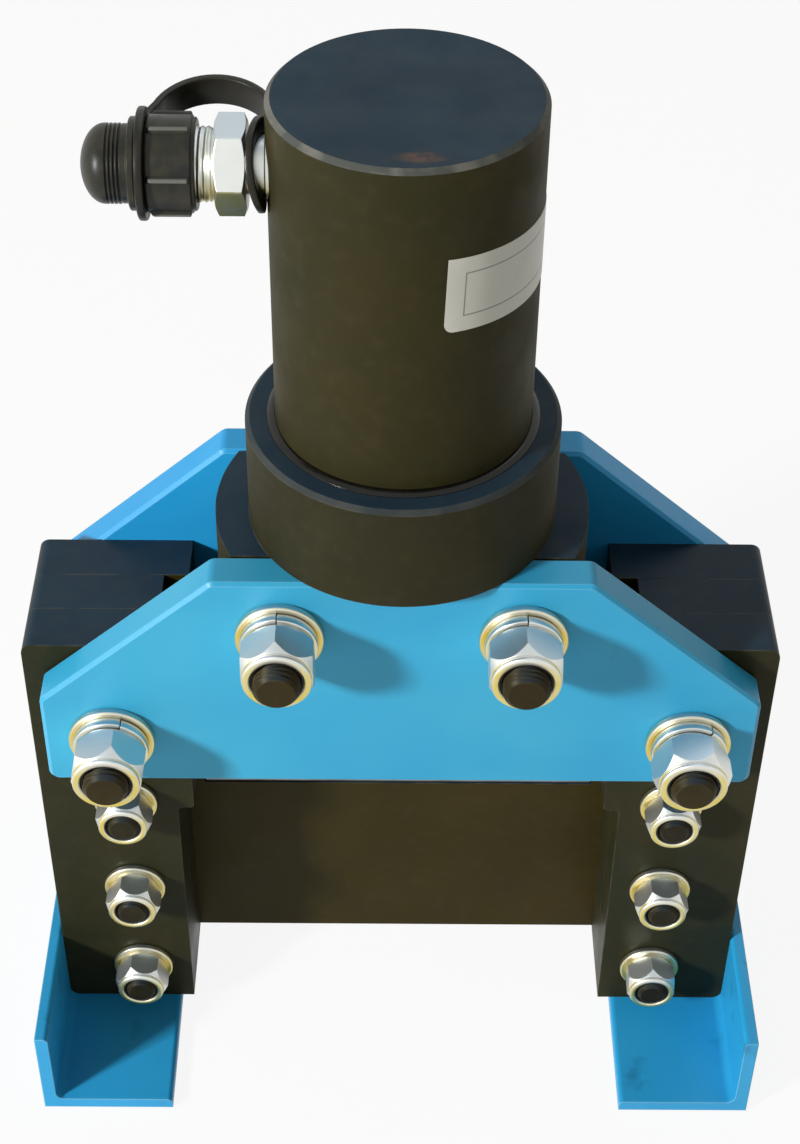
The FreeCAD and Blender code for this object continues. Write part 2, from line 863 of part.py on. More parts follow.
def cylinder_barrel():
    body = new_body("cylinder_barrel")
    groove_bottom = barrel_seat + s.base_seal_rise
    groove_top = groove_bottom + s.base_seal_width
    points = [
        (s.bore_radius, barrel_seat),
        (barrel_radius, barrel_seat),
        (barrel_radius, groove_bottom),
        (barrel_radius - s.base_seal_depth, groove_bottom),
        (barrel_radius - s.base_seal_depth, groove_top),
        (barrel_radius, groove_top),
        (barrel_radius, barrel_top - s.barrel_bevel),
        (barrel_radius - s.barrel_bevel, barrel_top),
        (0, barrel_top),
        (0, chamber_top),
        (s.bore_radius, chamber_top),
    ]
    turn(body, outline(body, "barrel_profile", "XZ_Plane", points))
    for name, radius, depth in (
        ("spot_face", s.adaptor_radius + s.spot_face_gap, s.spot_face_depth),
        ("port_thread", s.port_radius, s.spot_face_depth + s.port_depth),
        ("port_channel", s.port_channel_radius, barrel_radius),
    ):
        cut = circles(body, name, "YZ_Plane", [(0, port_level)], radius, -barrel_radius)
        pocket(body, cut, depth, False, True)
    return body


def base_seal():
    body = new_body("base_seal")
    sketch = circles(body, "base_seal_section", "XZ_Plane",
                     [(barrel_radius - s.base_seal_wire - s.thread_clearance,
                       barrel_seat + s.base_seal_rise + s.base_seal_width / 2)], s.base_seal_wire)
    turn(body, sketch)
    return body


cylinder_barrel()
base_seal()


# Return spring: round wire between the base and the piston, its ends ground flat

def coil(name, mean_radius, wire, pitch, start, end, along_x=False):
    body = new_body(name, keep=False)
    plane = "XZ_Plane"
    place = (start, mean_radius) if along_x else (mean_radius, start)
    sketch = circles(body, name + "_wire", plane, [place], wire / 2)
    helix = body.newObject("PartDesign::AdditiveHelix", name + "_turns")
    helix.Profile = sketch
    helix.ReferenceAxis = (sketch, ["H_Axis" if along_x else "V_Axis"])
    helix.Mode = 0
    bind(helix, "Pitch", pitch)
    bind(helix, "Height", end - start)
    helix.Angle = 0
    return body


spring_mean_radius = s.bore_radius - s.spring_gap - s.spring_wire / 2
spring_turns = coil("return_spring_turns", spring_mean_radius, s.spring_wire, s.spring_pitch,
                    barrel_seat, piston_bottom)
spring_space = doc.addObject("Part::Cylinder", "return_spring_space")
bind(spring_space, "Radius", s.bore_radius)
bind(spring_space, "Height", piston_bottom - barrel_seat)
lift(spring_space, z=barrel_seat)
return_spring = doc.addObject("Part::Common", "return_spring")
return_spring.Label = "return_spring"
return_spring.Base = spring_turns
return_spring.Tool = spring_space
subparts.append(return_spring)


# Side plates: bevelled hexagonal outline, bolted through the legs and the base disc

def side_plate(name, back_face):
    body = new_body(name)
    half_width = bolt_x + s.plate_side_margin
    half_top = inner_bolt_x + s.plate_top_margin
    shoulder = plate_bottom + s.plate_end_height
    points = [
        (-half_width, plate_bottom),
        (half_width, plate_bottom),
        (half_width, shoulder),
        (half_top, plate_top),
        (-half_top, plate_top),
        (-half_width, shoulder),
    ]
    last = pad(body, outline(body, name + "_outline", "XZ_Plane", points, -back_face), s.plate_thickness)
    last = dress(body, "Fillet", last, lambda e: along(e, AXIS_Y), s.plate_corner_radius)
    dress(body, "Chamfer", last, lambda e: not along(e, AXIS_Y), s.plate_edge_bevel)
    holes = circles(body, name + "_holes", "XZ_Plane", large_places, large_hole_radius)
    pocket(body, holes, None, True)
    return body


side_plate("front_side_plate", -half_depth)
side_plate("rear_side_plate", half_depth + s.plate_thickness)


# Feet: lengths of angle under each pair of legs

def foot(name, side):
    body = new_body(name)
    wall = s.foot_thickness
    points = [
        (side * foot_inner, ZERO),
        (side * foot_outer, ZERO),
        (side * foot_outer, s.foot_height),
        (side * half_frame, s.foot_height),
        (side * half_frame, wall),
        (side * foot_inner, wall),
    ]
    length = (half_depth + s.foot_overhang) * 2
    angle = pad(body, outline(body, name + "_section", "XZ_Plane", points), length, True)

    def toe(edge):
        centre = edge.CenterOfMass
        on_plate = near(abs(centre.x), foot_inner) and near(centre.z, wall)
        on_flange = near(abs(centre.x), half_frame) and near(centre.z, s.foot_height)
        return along(edge, AXIS_Y) and (on_plate or on_flange)

    toes = dress(body, "Fillet", angle, toe, s.foot_toe_radius)

    def bend(edge):
        centre = edge.CenterOfMass
        return along(edge, AXIS_Y) and near(abs(centre.x), half_frame) and near(centre.z, wall)

    dress(body, "Fillet", toes, bend, s.foot_bend_radius)
    holes = circles(body, name + "_screw_holes", "XY_Plane",
                    [(side * foot_screw_x, end * foot_screw_y) for end in (-1, 1)],
                    s.foot_screw_radius + s.screw_gap)
    pocket(body, holes, None, True)
    sinks = circles(body, name + "_screw_sinks", "XY_Plane",
                    [(side * foot_screw_x, end * foot_screw_y) for end in (-1, 1)],
                    s.foot_screw_head_radius + s.screw_gap)
    pocket(body, sinks, s.foot_screw_head_height, False, True)
    return body


foot("foot_left", -1)
foot("foot_right", 1)


# Socket screws with low heads, axis along Y or Z, head face at the origin

def socket_screw(name, plane, axis, radius, head_radius, head_height, length, socket, flip=1):
    body = new_body(name, keep=False)
    if plane == "YZ_Plane":
        points = [
            (ZERO, 0),
            (ZERO, head_radius),
            (head_height * flip, head_radius),
            (head_height * flip, radius),
            (length * flip, radius),
            (length * flip, 0),
        ]
    else:
        points = [
            (0, ZERO),
            (head_radius, ZERO),
            (head_radius, head_height),
            (radius, head_height),
            (radius, length),
            (0, length),
        ]
    turn(body, outline(body, name + "_profile", plane, points), axis)
    if plane == "YZ_Plane":
        pocket(body, hexagon(body, name + "_socket", "XZ_Plane", socket), head_height / 2, False, flip > 0)
    else:
        pocket(body, hexagon(body, name + "_socket", "XY_Plane", socket), head_height / 2, False, True)
    return body


foot_screw = socket_screw("foot_screw", "XZ_Plane", "V_Axis", s.foot_screw_radius, s.foot_screw_head_radius,
                          s.foot_screw_head_height, s.foot_screw_length, s.foot_screw_socket)
lower_blade_screw = socket_screw("lower_blade_screw", "YZ_Plane", "H_Axis", s.blade_screw_radius,
                                 s.blade_screw_head_radius, s.blade_screw_head_height, s.blade_screw_length,
                                 s.blade_screw_socket, -1)
upper_reach = s.middle_layer - s.holder_clearance * 2 - s.blade_edge_land
upper_blade_screw = socket_screw("upper_blade_screw", "YZ_Plane", "H_Axis", s.blade_screw_radius,
                                 s.blade_screw_head_radius, s.blade_screw_head_height, upper_reach,
                                 s.blade_screw_socket, 1)
group("foot_screws", foot_screw,
      [(side * foot_screw_x, end * foot_screw_y, ZERO) for side in (-1, 1) for end in (-1, 1)])
group("lower_blade_screws", lower_blade_screw,
      [(x, half_depth, lower_screw_level) for x in screw_xs])
group("upper_blade_screws", upper_blade_screw,
      [(x, s.holder_clearance - s.middle_layer / 2, upper_screw_level) for x in screw_xs])


# Through bolts, washers and lock nuts: axis along Y, bearing face at the origin, front to -Y

def hex_bolt(name, radius, flats, head_height, grip):
    body = new_body(name, keep=False)
    pad(body, hexagon(body, name + "_head", "XZ_Plane", flats), head_height, False, True)
    corner = flats * HEX_CORNER_SHARE
    bevel = [
        (head_height, corner - s.hex_bevel * 2),
        (head_height, corner + s.hex_bevel),
        (head_height - s.hex_bevel, corner + s.hex_bevel),
    ]
    turn(body, outline(body, name + "_head_bevel", "YZ_Plane", bevel), "H_Axis", cut=True)
    shank = [
        (ZERO, 0),
        (ZERO, radius),
        (s.bolt_end_bevel - grip, radius),
        (-grip, radius - s.bolt_end_bevel),
        (-grip, 0),
    ]
    turn(body, outline(body, name + "_shank", "YZ_Plane", shank), "H_Axis")
    return body


def washer(name, inner, outer, thickness):
    body = new_body(name, keep=False)
    points = [(ZERO, inner), (ZERO, outer), (-thickness, outer), (-thickness, inner)]
    turn(body, outline(body, name + "_profile", "YZ_Plane", points), "H_Axis")
    return body


def spring_washer(name, inner, outer, thickness):
    body = washer(name, inner, outer, thickness)
    half_slit = s.spring_washer_slit / 2
    slit = [
        (-half_slit, inner / 2),
        (half_slit, inner / 2),
        (half_slit + s.spring_washer_slit, outer * 2),
        (s.spring_washer_slit - half_slit, outer * 2),
    ]
    pocket(body, outline(body, name + "_slit", "XZ_Plane", slit), None, True)
    return body


def lock_nut(name, radius, flats, height, hex_height, collar_radius, first_corner=0):
    body = new_body(name, keep=False)
    pad(body, hexagon(body, name + "_hex", "XZ_Plane", flats, None, first_corner), hex_height)
    corner = flats * HEX_CORNER_SHARE
    bevel = [
        (-hex_height, corner - s.hex_bevel * 3),
        (-hex_height, corner + s.hex_bevel),
        (s.hex_bevel * 2 - hex_height, corner + s.hex_bevel),
    ]
    turn(body, outline(body, name + "_hex_bevel", "YZ_Plane", bevel), "H_Axis", cut=True)
    collar = [
        (-hex_height, 0),
        (-hex_height, collar_radius),
        (s.nut_collar_round - height, collar_radius),
        (-height, collar_radius - s.nut_collar_round),
        (-height, 0),
    ]
    turn(body, outline(body, name + "_collar", "YZ_Plane", collar), "H_Axis")
    hole = circles(body, name + "_hole", "XZ_Plane", [(0, 0)], radius + s.nut_bore_gap)
    pocket(body, hole, None, True)
    return body


plate_face = half_depth + s.plate_thickness
large_grip = (plate_face + s.large_washer_thickness) * 2 + s.large_spring_washer_thickness \
    + s.large_nut_height + s.large_bolt_reveal
small_grip = (half_depth + s.small_washer_thickness) * 2 + s.small_nut_height + s.small_bolt_reveal
large_bolt = hex_bolt("large_bolt", s.large_bolt_radius, s.large_flats, s.large_head_height, large_grip)
small_bolt = hex_bolt("small_bolt", s.small_bolt_radius, s.small_flats, s.small_head_height, small_grip)
large_washer = washer("large_washer", large_hole_radius, s.large_washer_radius, s.large_washer_thickness)
small_washer = washer("small_washer", small_hole_radius, s.small_washer_radius, s.small_washer_thickness)
large_spring_washer = spring_washer("large_spring_washer", large_hole_radius, s.large_spring_washer_radius,
                                    s.large_spring_washer_thickness)
large_nut = lock_nut("large_nut", s.large_bolt_radius, s.large_flats, s.large_nut_height,
                     s.large_nut_hex_height, s.large_nut_collar_radius, LARGE_NUT_ANGLE)
small_nut = lock_nut("small_nut", s.small_bolt_radius, s.small_flats, s.small_nut_height,
                     s.small_nut_hex_height, s.small_nut_collar_radius)

small_places = side_places(-1) + side_places(1)
large_washer_front = -plate_face - s.large_washer_thickness
large_nut_seat = large_washer_front - s.large_spring_washer_thickness
small_nut_seat = -half_depth - s.small_washer_thickness


def at(places, y):
    return [(x, y, z) for x, z in places]


group("large_bolts", large_bolt, at(large_places, plate_face + s.large_washer_thickness))
group("large_rear_washers", large_washer, at(large_places, plate_face + s.large_washer_thickness))
group("large_front_washers", large_washer, at(large_places, -plate_face))
group("large_spring_washers", large_spring_washer, at(large_places, large_washer_front))
group("large_lock_nuts", large_nut, at(large_places, large_nut_seat))
group("small_bolts", small_bolt, at(small_places, half_depth + s.small_washer_thickness))
group("small_rear_washers", small_washer, at(small_places, half_depth + s.small_washer_thickness))
group("small_front_washers", small_washer, at(small_places, -half_depth))
group("small_lock_nuts", small_nut, at(small_places, small_nut_seat))


# Coupler half at the oil port, axis along -X. Profiles are drawn as (x, radius).

spot_face_x = s.spot_face_depth - barrel_radius
collar_end = spot_face_x - s.adaptor_collar
neck_end = collar_end - s.adaptor_neck_length
hex_end = neck_end - s.coupler_hex_length
thread_end = hex_end - s.coupler_thread_length
nose_end = thread_end - s.coupler_nose_length
nose_radius = s.coupler_thread_radius - s.coupler_nose_step
valve_shoulder = thread_end
valve_bore_radius = s.valve_head_radius + s.valve_head_gap
valve_seat_radius = s.valve_stem_radius + s.valve_stem_gap
valve_tail = valve_shoulder + s.valve_head_length
valve_spring_radius = valve_bore_radius - s.valve_spring_gap - s.valve_spring_wire / 2


def coupler_adaptor():
    body = new_body("coupler_adaptor")
    stem_end = spot_face_x + s.port_depth
    socket = neck_end - s.coupler_hex_length / 2
    points = [
        (stem_end, s.adaptor_bore),
        (stem_end, s.port_radius - s.thread_clearance),
        (spot_face_x, s.port_radius - s.thread_clearance),
        (spot_face_x, s.adaptor_radius),
        (collar_end, s.adaptor_radius),
        (collar_end, s.adaptor_neck_radius),
        (neck_end, s.adaptor_neck_radius),
        (neck_end, s.port_radius),
        (socket, s.port_radius),
        (socket, s.adaptor_bore),
    ]
    turn(body, outline(body, "adaptor_profile", "XZ_Plane", points), "H_Axis")
    lift(body, z=port_level)
    return body


def coupler_body():
    body = new_body("coupler_body")
    corner = s.coupler_flats * HEX_CORNER_SHARE
    sketch = hexagon(body, "coupler_hex", "YZ_Plane", s.coupler_flats, hex_end, COUPLER_HEX_ANGLE)
    pad(body, sketch, s.coupler_hex_length)
    for name, face, side in (("coupler_front_bevel", hex_end, 1), ("coupler_rear_bevel", neck_end, -1)):
        bevel = [
            (face, corner - s.coupler_hex_bevel * 2),
            (face, corner + s.coupler_hex_bevel),
            (face + s.coupler_hex_bevel * side, corner + s.coupler_hex_bevel),
        ]
        turn(body, outline(body, name, "XZ_Plane", bevel), "H_Axis", cut=True)
    tube = [
        (hex_end, 0),
        (hex_end, s.coupler_thread_radius),
        (thread_end, s.coupler_thread_radius),
        (thread_end, nose_radius),
        (nose_end, nose_radius),
        (nose_end, 0),
    ]
    turn(body, outline(body, "coupler_tube", "XZ_Plane", tube), "H_Axis")
    bore = [
        (neck_end, 0),
        (neck_end, s.port_radius + s.thread_clearance),
        (neck_end - s.coupler_hex_length / 2, s.port_radius + s.thread_clearance),
        (neck_end - s.coupler_hex_length / 2, valve_bore_radius),
        (valve_shoulder, valve_bore_radius),
        (valve_shoulder, valve_seat_radius),
        (nose_end, valve_seat_radius),
        (nose_end, 0),
    ]
    turn(body, outline(body, "coupler_bore", "XZ_Plane", bore), "H_Axis", cut=True)
    lift(body, z=port_level)
    return body


coupler_adaptor()
coupler_body()


def coupler_valve():
    body = new_body("coupler_valve")
    points = [
        (valve_tail, 0),
        (valve_tail, s.valve_head_radius),
        (valve_shoulder, s.valve_head_radius),
        (valve_shoulder, s.valve_stem_radius),
        (nose_end, s.valve_stem_radius),
        (nose_end, 0),
    ]
    turn(body, outline(body, "valve_profile", "XZ_Plane", points), "H_Axis")
    lift(body, z=port_level)
    return body


coupler_valve()
spring_end = neck_end - s.coupler_hex_length / 2 - s.valve_travel - s.screw_gap
valve_turns = coil("valve_spring_turns", valve_spring_radius, s.valve_spring_wire, s.valve_spring_pitch,
                   valve_tail, spring_end, along_x=True)
valve_space = doc.addObject("Part::Cylinder", "valve_spring_space")
bind(valve_space, "Radius", valve_bore_radius)
bind(valve_space, "Height", spring_end - valve_tail)
valve_space.Placement = FreeCAD.Placement(FreeCAD.Vector(0, 0, 0), FreeCAD.Rotation(AXIS_Y, 90))
bind(valve_space, "Placement.Base.x", valve_tail)
valve_spring = doc.addObject("Part::Common", "coupler_valve_spring")
valve_spring.Label = "coupler_valve_spring"
valve_spring.Base = valve_turns
valve_spring.Tool = valve_space
lift(valve_spring, z=port_level)
subparts.append(valve_spring)


# Dust cap: ribbed sleeve screwed over the coupler, domed plug outwards

cap_mouth = hex_end - s.cap_gap
lip_end = cap_mouth - s.cap_lip_length
sleeve_end = lip_end - s.cap_sleeve_length
groove_end = sleeve_end - s.strap_thickness - s.strap_ring_gap * 2
flange_end = groove_end - s.cap_flange_length
plug_end = flange_end - s.cap_plug_length
dome_end = plug_end - s.cap_dome_length
cap_bore_radius = s.coupler_thread_radius + s.cap_thread_gap
sleeve_radius = cap_bore_radius + s.cap_wall
groove_radius = sleeve_radius - s.cap_groove_depth
plug_radius = sleeve_radius - s.cap_plug_step


def dust_cap():
    body = new_body("dust_cap")
    dome_share = math.sqrt(0.5)
    points = [
        (cap_mouth, 0),
        (cap_mouth, sleeve_radius - s.cap_lip_step),
        (lip_end, sleeve_radius - s.cap_lip_step),
        (lip_end, sleeve_radius),
        (sleeve_end, sleeve_radius),
        (sleeve_end, groove_radius),
        (groove_end, groove_radius),
        (groove_end, sleeve_radius - s.cap_flange_step),
        (flange_end, sleeve_radius - s.cap_flange_step),
        (flange_end, plug_radius),
        (plug_end, plug_radius),
        (plug_end, 0),
    ]
    turn(body, outline(body, "cap_profile", "XZ_Plane", points), "H_Axis")
    dome = body.newObject("Sketcher::SketchObject", "cap_dome")
    attach(body, dome, "XZ_Plane", None)
    base = FreeCAD.Vector(plug_end.value, 0, 0)
    rim = FreeCAD.Vector(plug_end.value, plug_radius.value, 0)
    tip = FreeCAD.Vector(dome_end.value, 0, 0)
    bulge = FreeCAD.Vector(plug_end.value - s.cap_dome_length.value * dome_share,
                           plug_radius.value * dome_share, 0)
    dome.addGeometry(Part.LineSegment(tip, base))
    dome.addGeometry(Part.LineSegment(base, rim))
    dome.addGeometry(Part.Arc(rim, bulge, tip))
    dome.addConstraint(Sketcher.Constraint("Coincident", 0, 2, 1, 1))
    arc = dome.Geometry[2]
    rim_end, tip_end = (1, 2) if arc.StartPoint.distanceToPoint(rim) < MATCH else (2, 1)
    dome.addConstraint(Sketcher.Constraint("Coincident", 1, 2, 2, rim_end))
    dome.addConstraint(Sketcher.Constraint("Coincident", 0, 1, 2, tip_end))
    pin_point(dome, 0, 2, plug_end, 0)
    pin_point(dome, 1, 2, plug_end, plug_radius)
    pin_point(dome, 0, 1, dome_end, 0)
    dome.addConstraint(Sketcher.Constraint("PointOnObject", 2, 3, -1))
    turn(body, dome, "H_Axis")
    nose_room = nose_radius + s.cap_thread_gap
    bore = [
        (cap_mouth, 0),
        (cap_mouth, cap_bore_radius),
        (thread_end, cap_bore_radius),
        (thread_end, nose_room),
        (nose_end - s.cap_lip_length, nose_room),
        (nose_end - s.cap_lip_length, 0),
    ]
    turn(body, outline(body, "cap_bore", "XZ_Plane", bore), "H_Axis", cut=True)
    half_rib = s.cap_rib_width / 2
    rib_root = sleeve_radius - s.cap_rib_height
    rib_crest = sleeve_radius + s.cap_rib_height
    rib = [
        (-half_rib, rib_root),
        (half_rib, rib_root),
        (half_rib, rib_crest),
        (-half_rib, rib_crest),
    ]
    rib_pad = pad(body, outline(body, "cap_rib", "YZ_Plane", rib, sleeve_end + s.cap_rib_setback),
                  s.cap_sleeve_length - s.cap_rib_setback * 2)
    doc.recompute()
    ribs = body.newObject("PartDesign::PolarPattern", "cap_ribs")
    ribs.Originals = [rib_pad]
    ribs.Axis = (next(f for f in body.Origin.OriginFeatures if f.Role == "X_Axis"), [""])
    ribs.Angle = 360
    ribs.Occurrences = CAP_RIB_COUNT
    body.Tip = ribs
    lean(body, CAP_LEAN_ANGLE)
    lift(body, z=port_level)
    return body


dust_cap()


# Strap: a loop on the adaptor, a flat arched band and the ring that turns on the cap

ring_middle = sleeve_end - s.strap_ring_gap - s.strap_thickness / 2
loop_middle = neck_end + s.adaptor_neck_length / 2
arch_x = (ring_middle + loop_middle) / 2
arch_radius = (loop_middle - ring_middle) / 2
ring_hole_radius = groove_radius + s.strap_ring_gap
ring_radius = ring_hole_radius + s.strap_ring_wall
loop_hole_radius = s.adaptor_neck_radius + s.strap_loop_gap
loop_radius = loop_hole_radius + s.strap_loop_wall
arch_base = ring_radius + s.strap_tab_rise


def strap_ring():
    body = new_body("cap_strap_ring")
    start = ring_middle - s.strap_thickness / 2
    disc = circles(body, "strap_ring_disc", "YZ_Plane", [(0, 0)], ring_radius, start)
    pad(body, disc, s.strap_thickness)
    half_width = s.strap_width / 2
    tab = [
        (-half_width, groove_radius),
        (half_width, groove_radius),
        (half_width, arch_base),
        (-half_width, arch_base),
    ]
    pad(body, outline(body, "strap_ring_tab", "YZ_Plane", tab, start), s.strap_thickness)
    hole = circles(body, "strap_ring_hole", "YZ_Plane", [(0, 0)], ring_hole_radius, start)
    pocket(body, hole, s.strap_thickness, False, True)
    lean(body, STRAP_LEAN_ANGLE)
    lift(body, z=port_level)
    return body


def strap_band():
    body = new_body("cap_strap")
    half = s.strap_thickness / 2
    outer = arch_radius + half
    inner = arch_radius - half
    sketch = body.newObject("Sketcher::SketchObject", "strap_arch")
    attach(body, sketch, "XZ_Plane", None)
    centre = FreeCAD.Vector(arch_x.value, arch_base.value, 0)
    up = FreeCAD.Vector(0, 0, 1)
    sketch.addGeometry(Part.ArcOfCircle(Part.Circle(centre, up, outer.value), 0, math.pi))
    sketch.addGeometry(Part.ArcOfCircle(Part.Circle(centre, up, inner.value), 0, math.pi))
    left_outer = FreeCAD.Vector(arch_x.value - outer.value, arch_base.value, 0)
    left_inner = FreeCAD.Vector(arch_x.value - inner.value, arch_base.value, 0)
    right_outer = FreeCAD.Vector(arch_x.value + outer.value, arch_base.value, 0)
    right_inner = FreeCAD.Vector(arch_x.value + inner.value, arch_base.value, 0)
    drop = s.adaptor_neck_radius
    end_outer = FreeCAD.Vector(right_outer.x, drop.value, 0)
    end_inner = FreeCAD.Vector(right_inner.x, drop.value, 0)
    sketch.addGeometry(Part.LineSegment(left_outer, left_inner))
    sketch.addGeometry(Part.LineSegment(right_inner, end_inner))
    sketch.addGeometry(Part.LineSegment(end_inner, end_outer))
    sketch.addGeometry(Part.LineSegment(end_outer, right_outer))
    joins = ((0, 2, 2, 1), (2, 2, 1, 2), (1, 1, 3, 1), (3, 2, 4, 1), (4, 2, 5, 1), (5, 2, 0, 1))
    for a, end_a, b, end_b in joins:
        sketch.addConstraint(Sketcher.Constraint("Coincident", a, end_a, b, end_b))
    sketch.addConstraint(Sketcher.Constraint("Coincident", 0, 3, 1, 3))
    pin_point(sketch, 0, 3, None, arch_base)
    pin_point(sketch, 2, 1, arch_x - outer, arch_base)
    pin_point(sketch, 2, 2, arch_x - inner, arch_base)
    pin_point(sketch, 3, 1, None, arch_base)
    pin_point(sketch, 5, 2, arch_x + outer, arch_base)
    pin_point(sketch, 4, 1, arch_x + inner, drop)
    pin_point(sketch, 4, 2, arch_x + outer, drop)
    pad(body, sketch, s.strap_width, True)
    start = loop_middle - half
    disc = circles(body, "strap_loop_disc", "YZ_Plane", [(0, 0)], loop_radius, start)
    pad(body, disc, s.strap_thickness)
    hole = circles(body, "strap_loop_hole", "YZ_Plane", [(0, 0)], loop_hole_radius, start)
    pocket(body, hole, s.strap_thickness, False, True)
    lean(body, STRAP_LEAN_ANGLE)
    lift(body, z=port_level)
    return body


strap_ring()
strap_band()

doc.recompute()
faults = [item.Name for item in doc.Objects if "Invalid" in item.State or "Error" in item.State]
for item in subparts:
    if item.Shape.isNull() or not item.Shape.isValid():
        faults.append(item.Label)
if faults:
    raise RuntimeError("failed features: " + ", ".join(faults))
os.makedirs("parts", exist_ok=True)
for item in subparts:
    item.Shape.exportStep(f"parts/{item.Label}.step")
    print(item.Label, len(item.Shape.Solids), round(item.Shape.Volume, 1))
print(len(subparts), "sub-parts")
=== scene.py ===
import math

import bmesh
import bpy
from mathutils import Matrix, Vector


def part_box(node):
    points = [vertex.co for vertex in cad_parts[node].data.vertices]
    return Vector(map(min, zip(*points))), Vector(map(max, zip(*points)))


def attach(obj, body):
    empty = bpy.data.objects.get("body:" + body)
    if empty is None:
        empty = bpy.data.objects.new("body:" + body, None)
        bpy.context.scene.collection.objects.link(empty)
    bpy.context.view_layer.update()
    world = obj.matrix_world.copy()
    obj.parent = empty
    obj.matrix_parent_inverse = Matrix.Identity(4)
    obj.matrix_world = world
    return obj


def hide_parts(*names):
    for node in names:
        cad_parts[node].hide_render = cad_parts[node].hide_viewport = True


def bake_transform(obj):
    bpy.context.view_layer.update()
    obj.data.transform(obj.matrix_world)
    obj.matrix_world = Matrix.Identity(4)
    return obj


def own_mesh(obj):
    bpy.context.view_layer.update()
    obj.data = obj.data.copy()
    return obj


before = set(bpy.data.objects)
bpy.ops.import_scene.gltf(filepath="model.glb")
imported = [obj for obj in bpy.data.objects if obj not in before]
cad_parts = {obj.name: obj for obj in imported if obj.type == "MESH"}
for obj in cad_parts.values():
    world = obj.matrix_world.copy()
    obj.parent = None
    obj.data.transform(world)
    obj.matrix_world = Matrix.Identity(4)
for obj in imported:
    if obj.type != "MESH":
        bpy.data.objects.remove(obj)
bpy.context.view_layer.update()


# Legs, guide spacers and rear frame: thick flat steel, milled on its faces, blackened
# in a hot salt bath and oiled. Three layers are clamped on each side by through bolts.

# Sizes are written in millimetres, and the scene is in metres.
MM = 0.001

# How many rays find the rounding of an edge.
EDGE_RAYS = 6

# A Mix of two colours takes its share and its colours at these inputs, and is set like this.
SHARE, UNDER, OVER = 0, 6, 7
IN_COLOUR = {"out": 2, "data_type": "RGBA"}


def linear(code):
    """The linear colour of an sRGB hex code."""
    channels = [int(code[i:i + 2], 16) / 255 for i in (1, 3, 5)]
    return [c / 12.92 if c <= 0.04045 else ((c + 0.055) / 1.055) ** 2.4 for c in channels] + [1.0]


def per_mm(size):
    """The texture scale that gives features of this many millimetres."""
    return 1 / (size * MM)


def feed(tree, node, inputs):
    """Fills inputs by name or number, each with an output to link, a hex colour or a value."""
    for name, value in inputs.items():
        if isinstance(value, bpy.types.NodeSocket):
            tree.links.new(value, node.inputs[name])
        else:
            node.inputs[name].default_value = linear(value) if isinstance(value, str) else value


def add_node(tree, kind, inputs=None, out=0, **settings):
    """Adds a node with its settings and inputs, and gives the output asked for."""
    node = tree.nodes.new("ShaderNode" + kind)
    for name, value in settings.items():
        setattr(node, name, value)
    feed(tree, node, inputs or {})
    return node.outputs[out]


def new_finish(name):
    """An empty material: its tree, its shader and the piece's own coordinates."""
    material = bpy.data.materials.new(name)
    material.use_nodes = True
    tree = material.node_tree
    return material, tree, tree.nodes["Principled BSDF"], add_node(tree, "TexCoord", out="Object")


def measured_from(tree, place, point):
    """Coordinates that start at a point, which is given in millimetres."""
    return add_node(tree, "VectorMath", {0: place, 1: [-c * MM for c in point]}, operation="ADD")


def turned_place(tree, place, axis, centre):
    """Coordinates that lathe work follows: the distance from its axis, and along it."""
    moved = measured_from(tree, place, centre)
    across = [0.0 if name == axis else 1.0 for name in "XYZ"]
    flat = add_node(tree, "VectorMath", {0: moved, 1: across}, operation="MULTIPLY")
    reach = add_node(tree, "VectorMath", {0: flat}, "Value", operation="LENGTH")
    return add_node(tree, "CombineXYZ", {"X": reach, "Y": add_node(tree, "SeparateXYZ", {0: moved}, axis)})


def cut_place(tree, place, axis):
    """Coordinates that a cutter's work follows: a pattern is drawn out along this axis."""
    stretch = [0.03 if name == axis else 1.0 for name in "XYZ"]
    return add_node(tree, "Mapping", {"Vector": place, "Scale": stretch})


def along_edges(tree):
    """1 at a sharp edge and 0 on a face, by how far a rounded normal leans off the flat one."""
    rounded = add_node(tree, "Bevel", {"Radius": 0.8 * MM}, samples=EDGE_RAYS)
    plain = add_node(tree, "NewGeometry", out="Normal")
    turn = add_node(tree, "VectorMath", {0: rounded, 1: plain}, "Value", operation="DOT_PRODUCT")
    return add_node(tree, "MapRange", {"Value": turn, "From Min": 0.985, "From Max": 0.86})


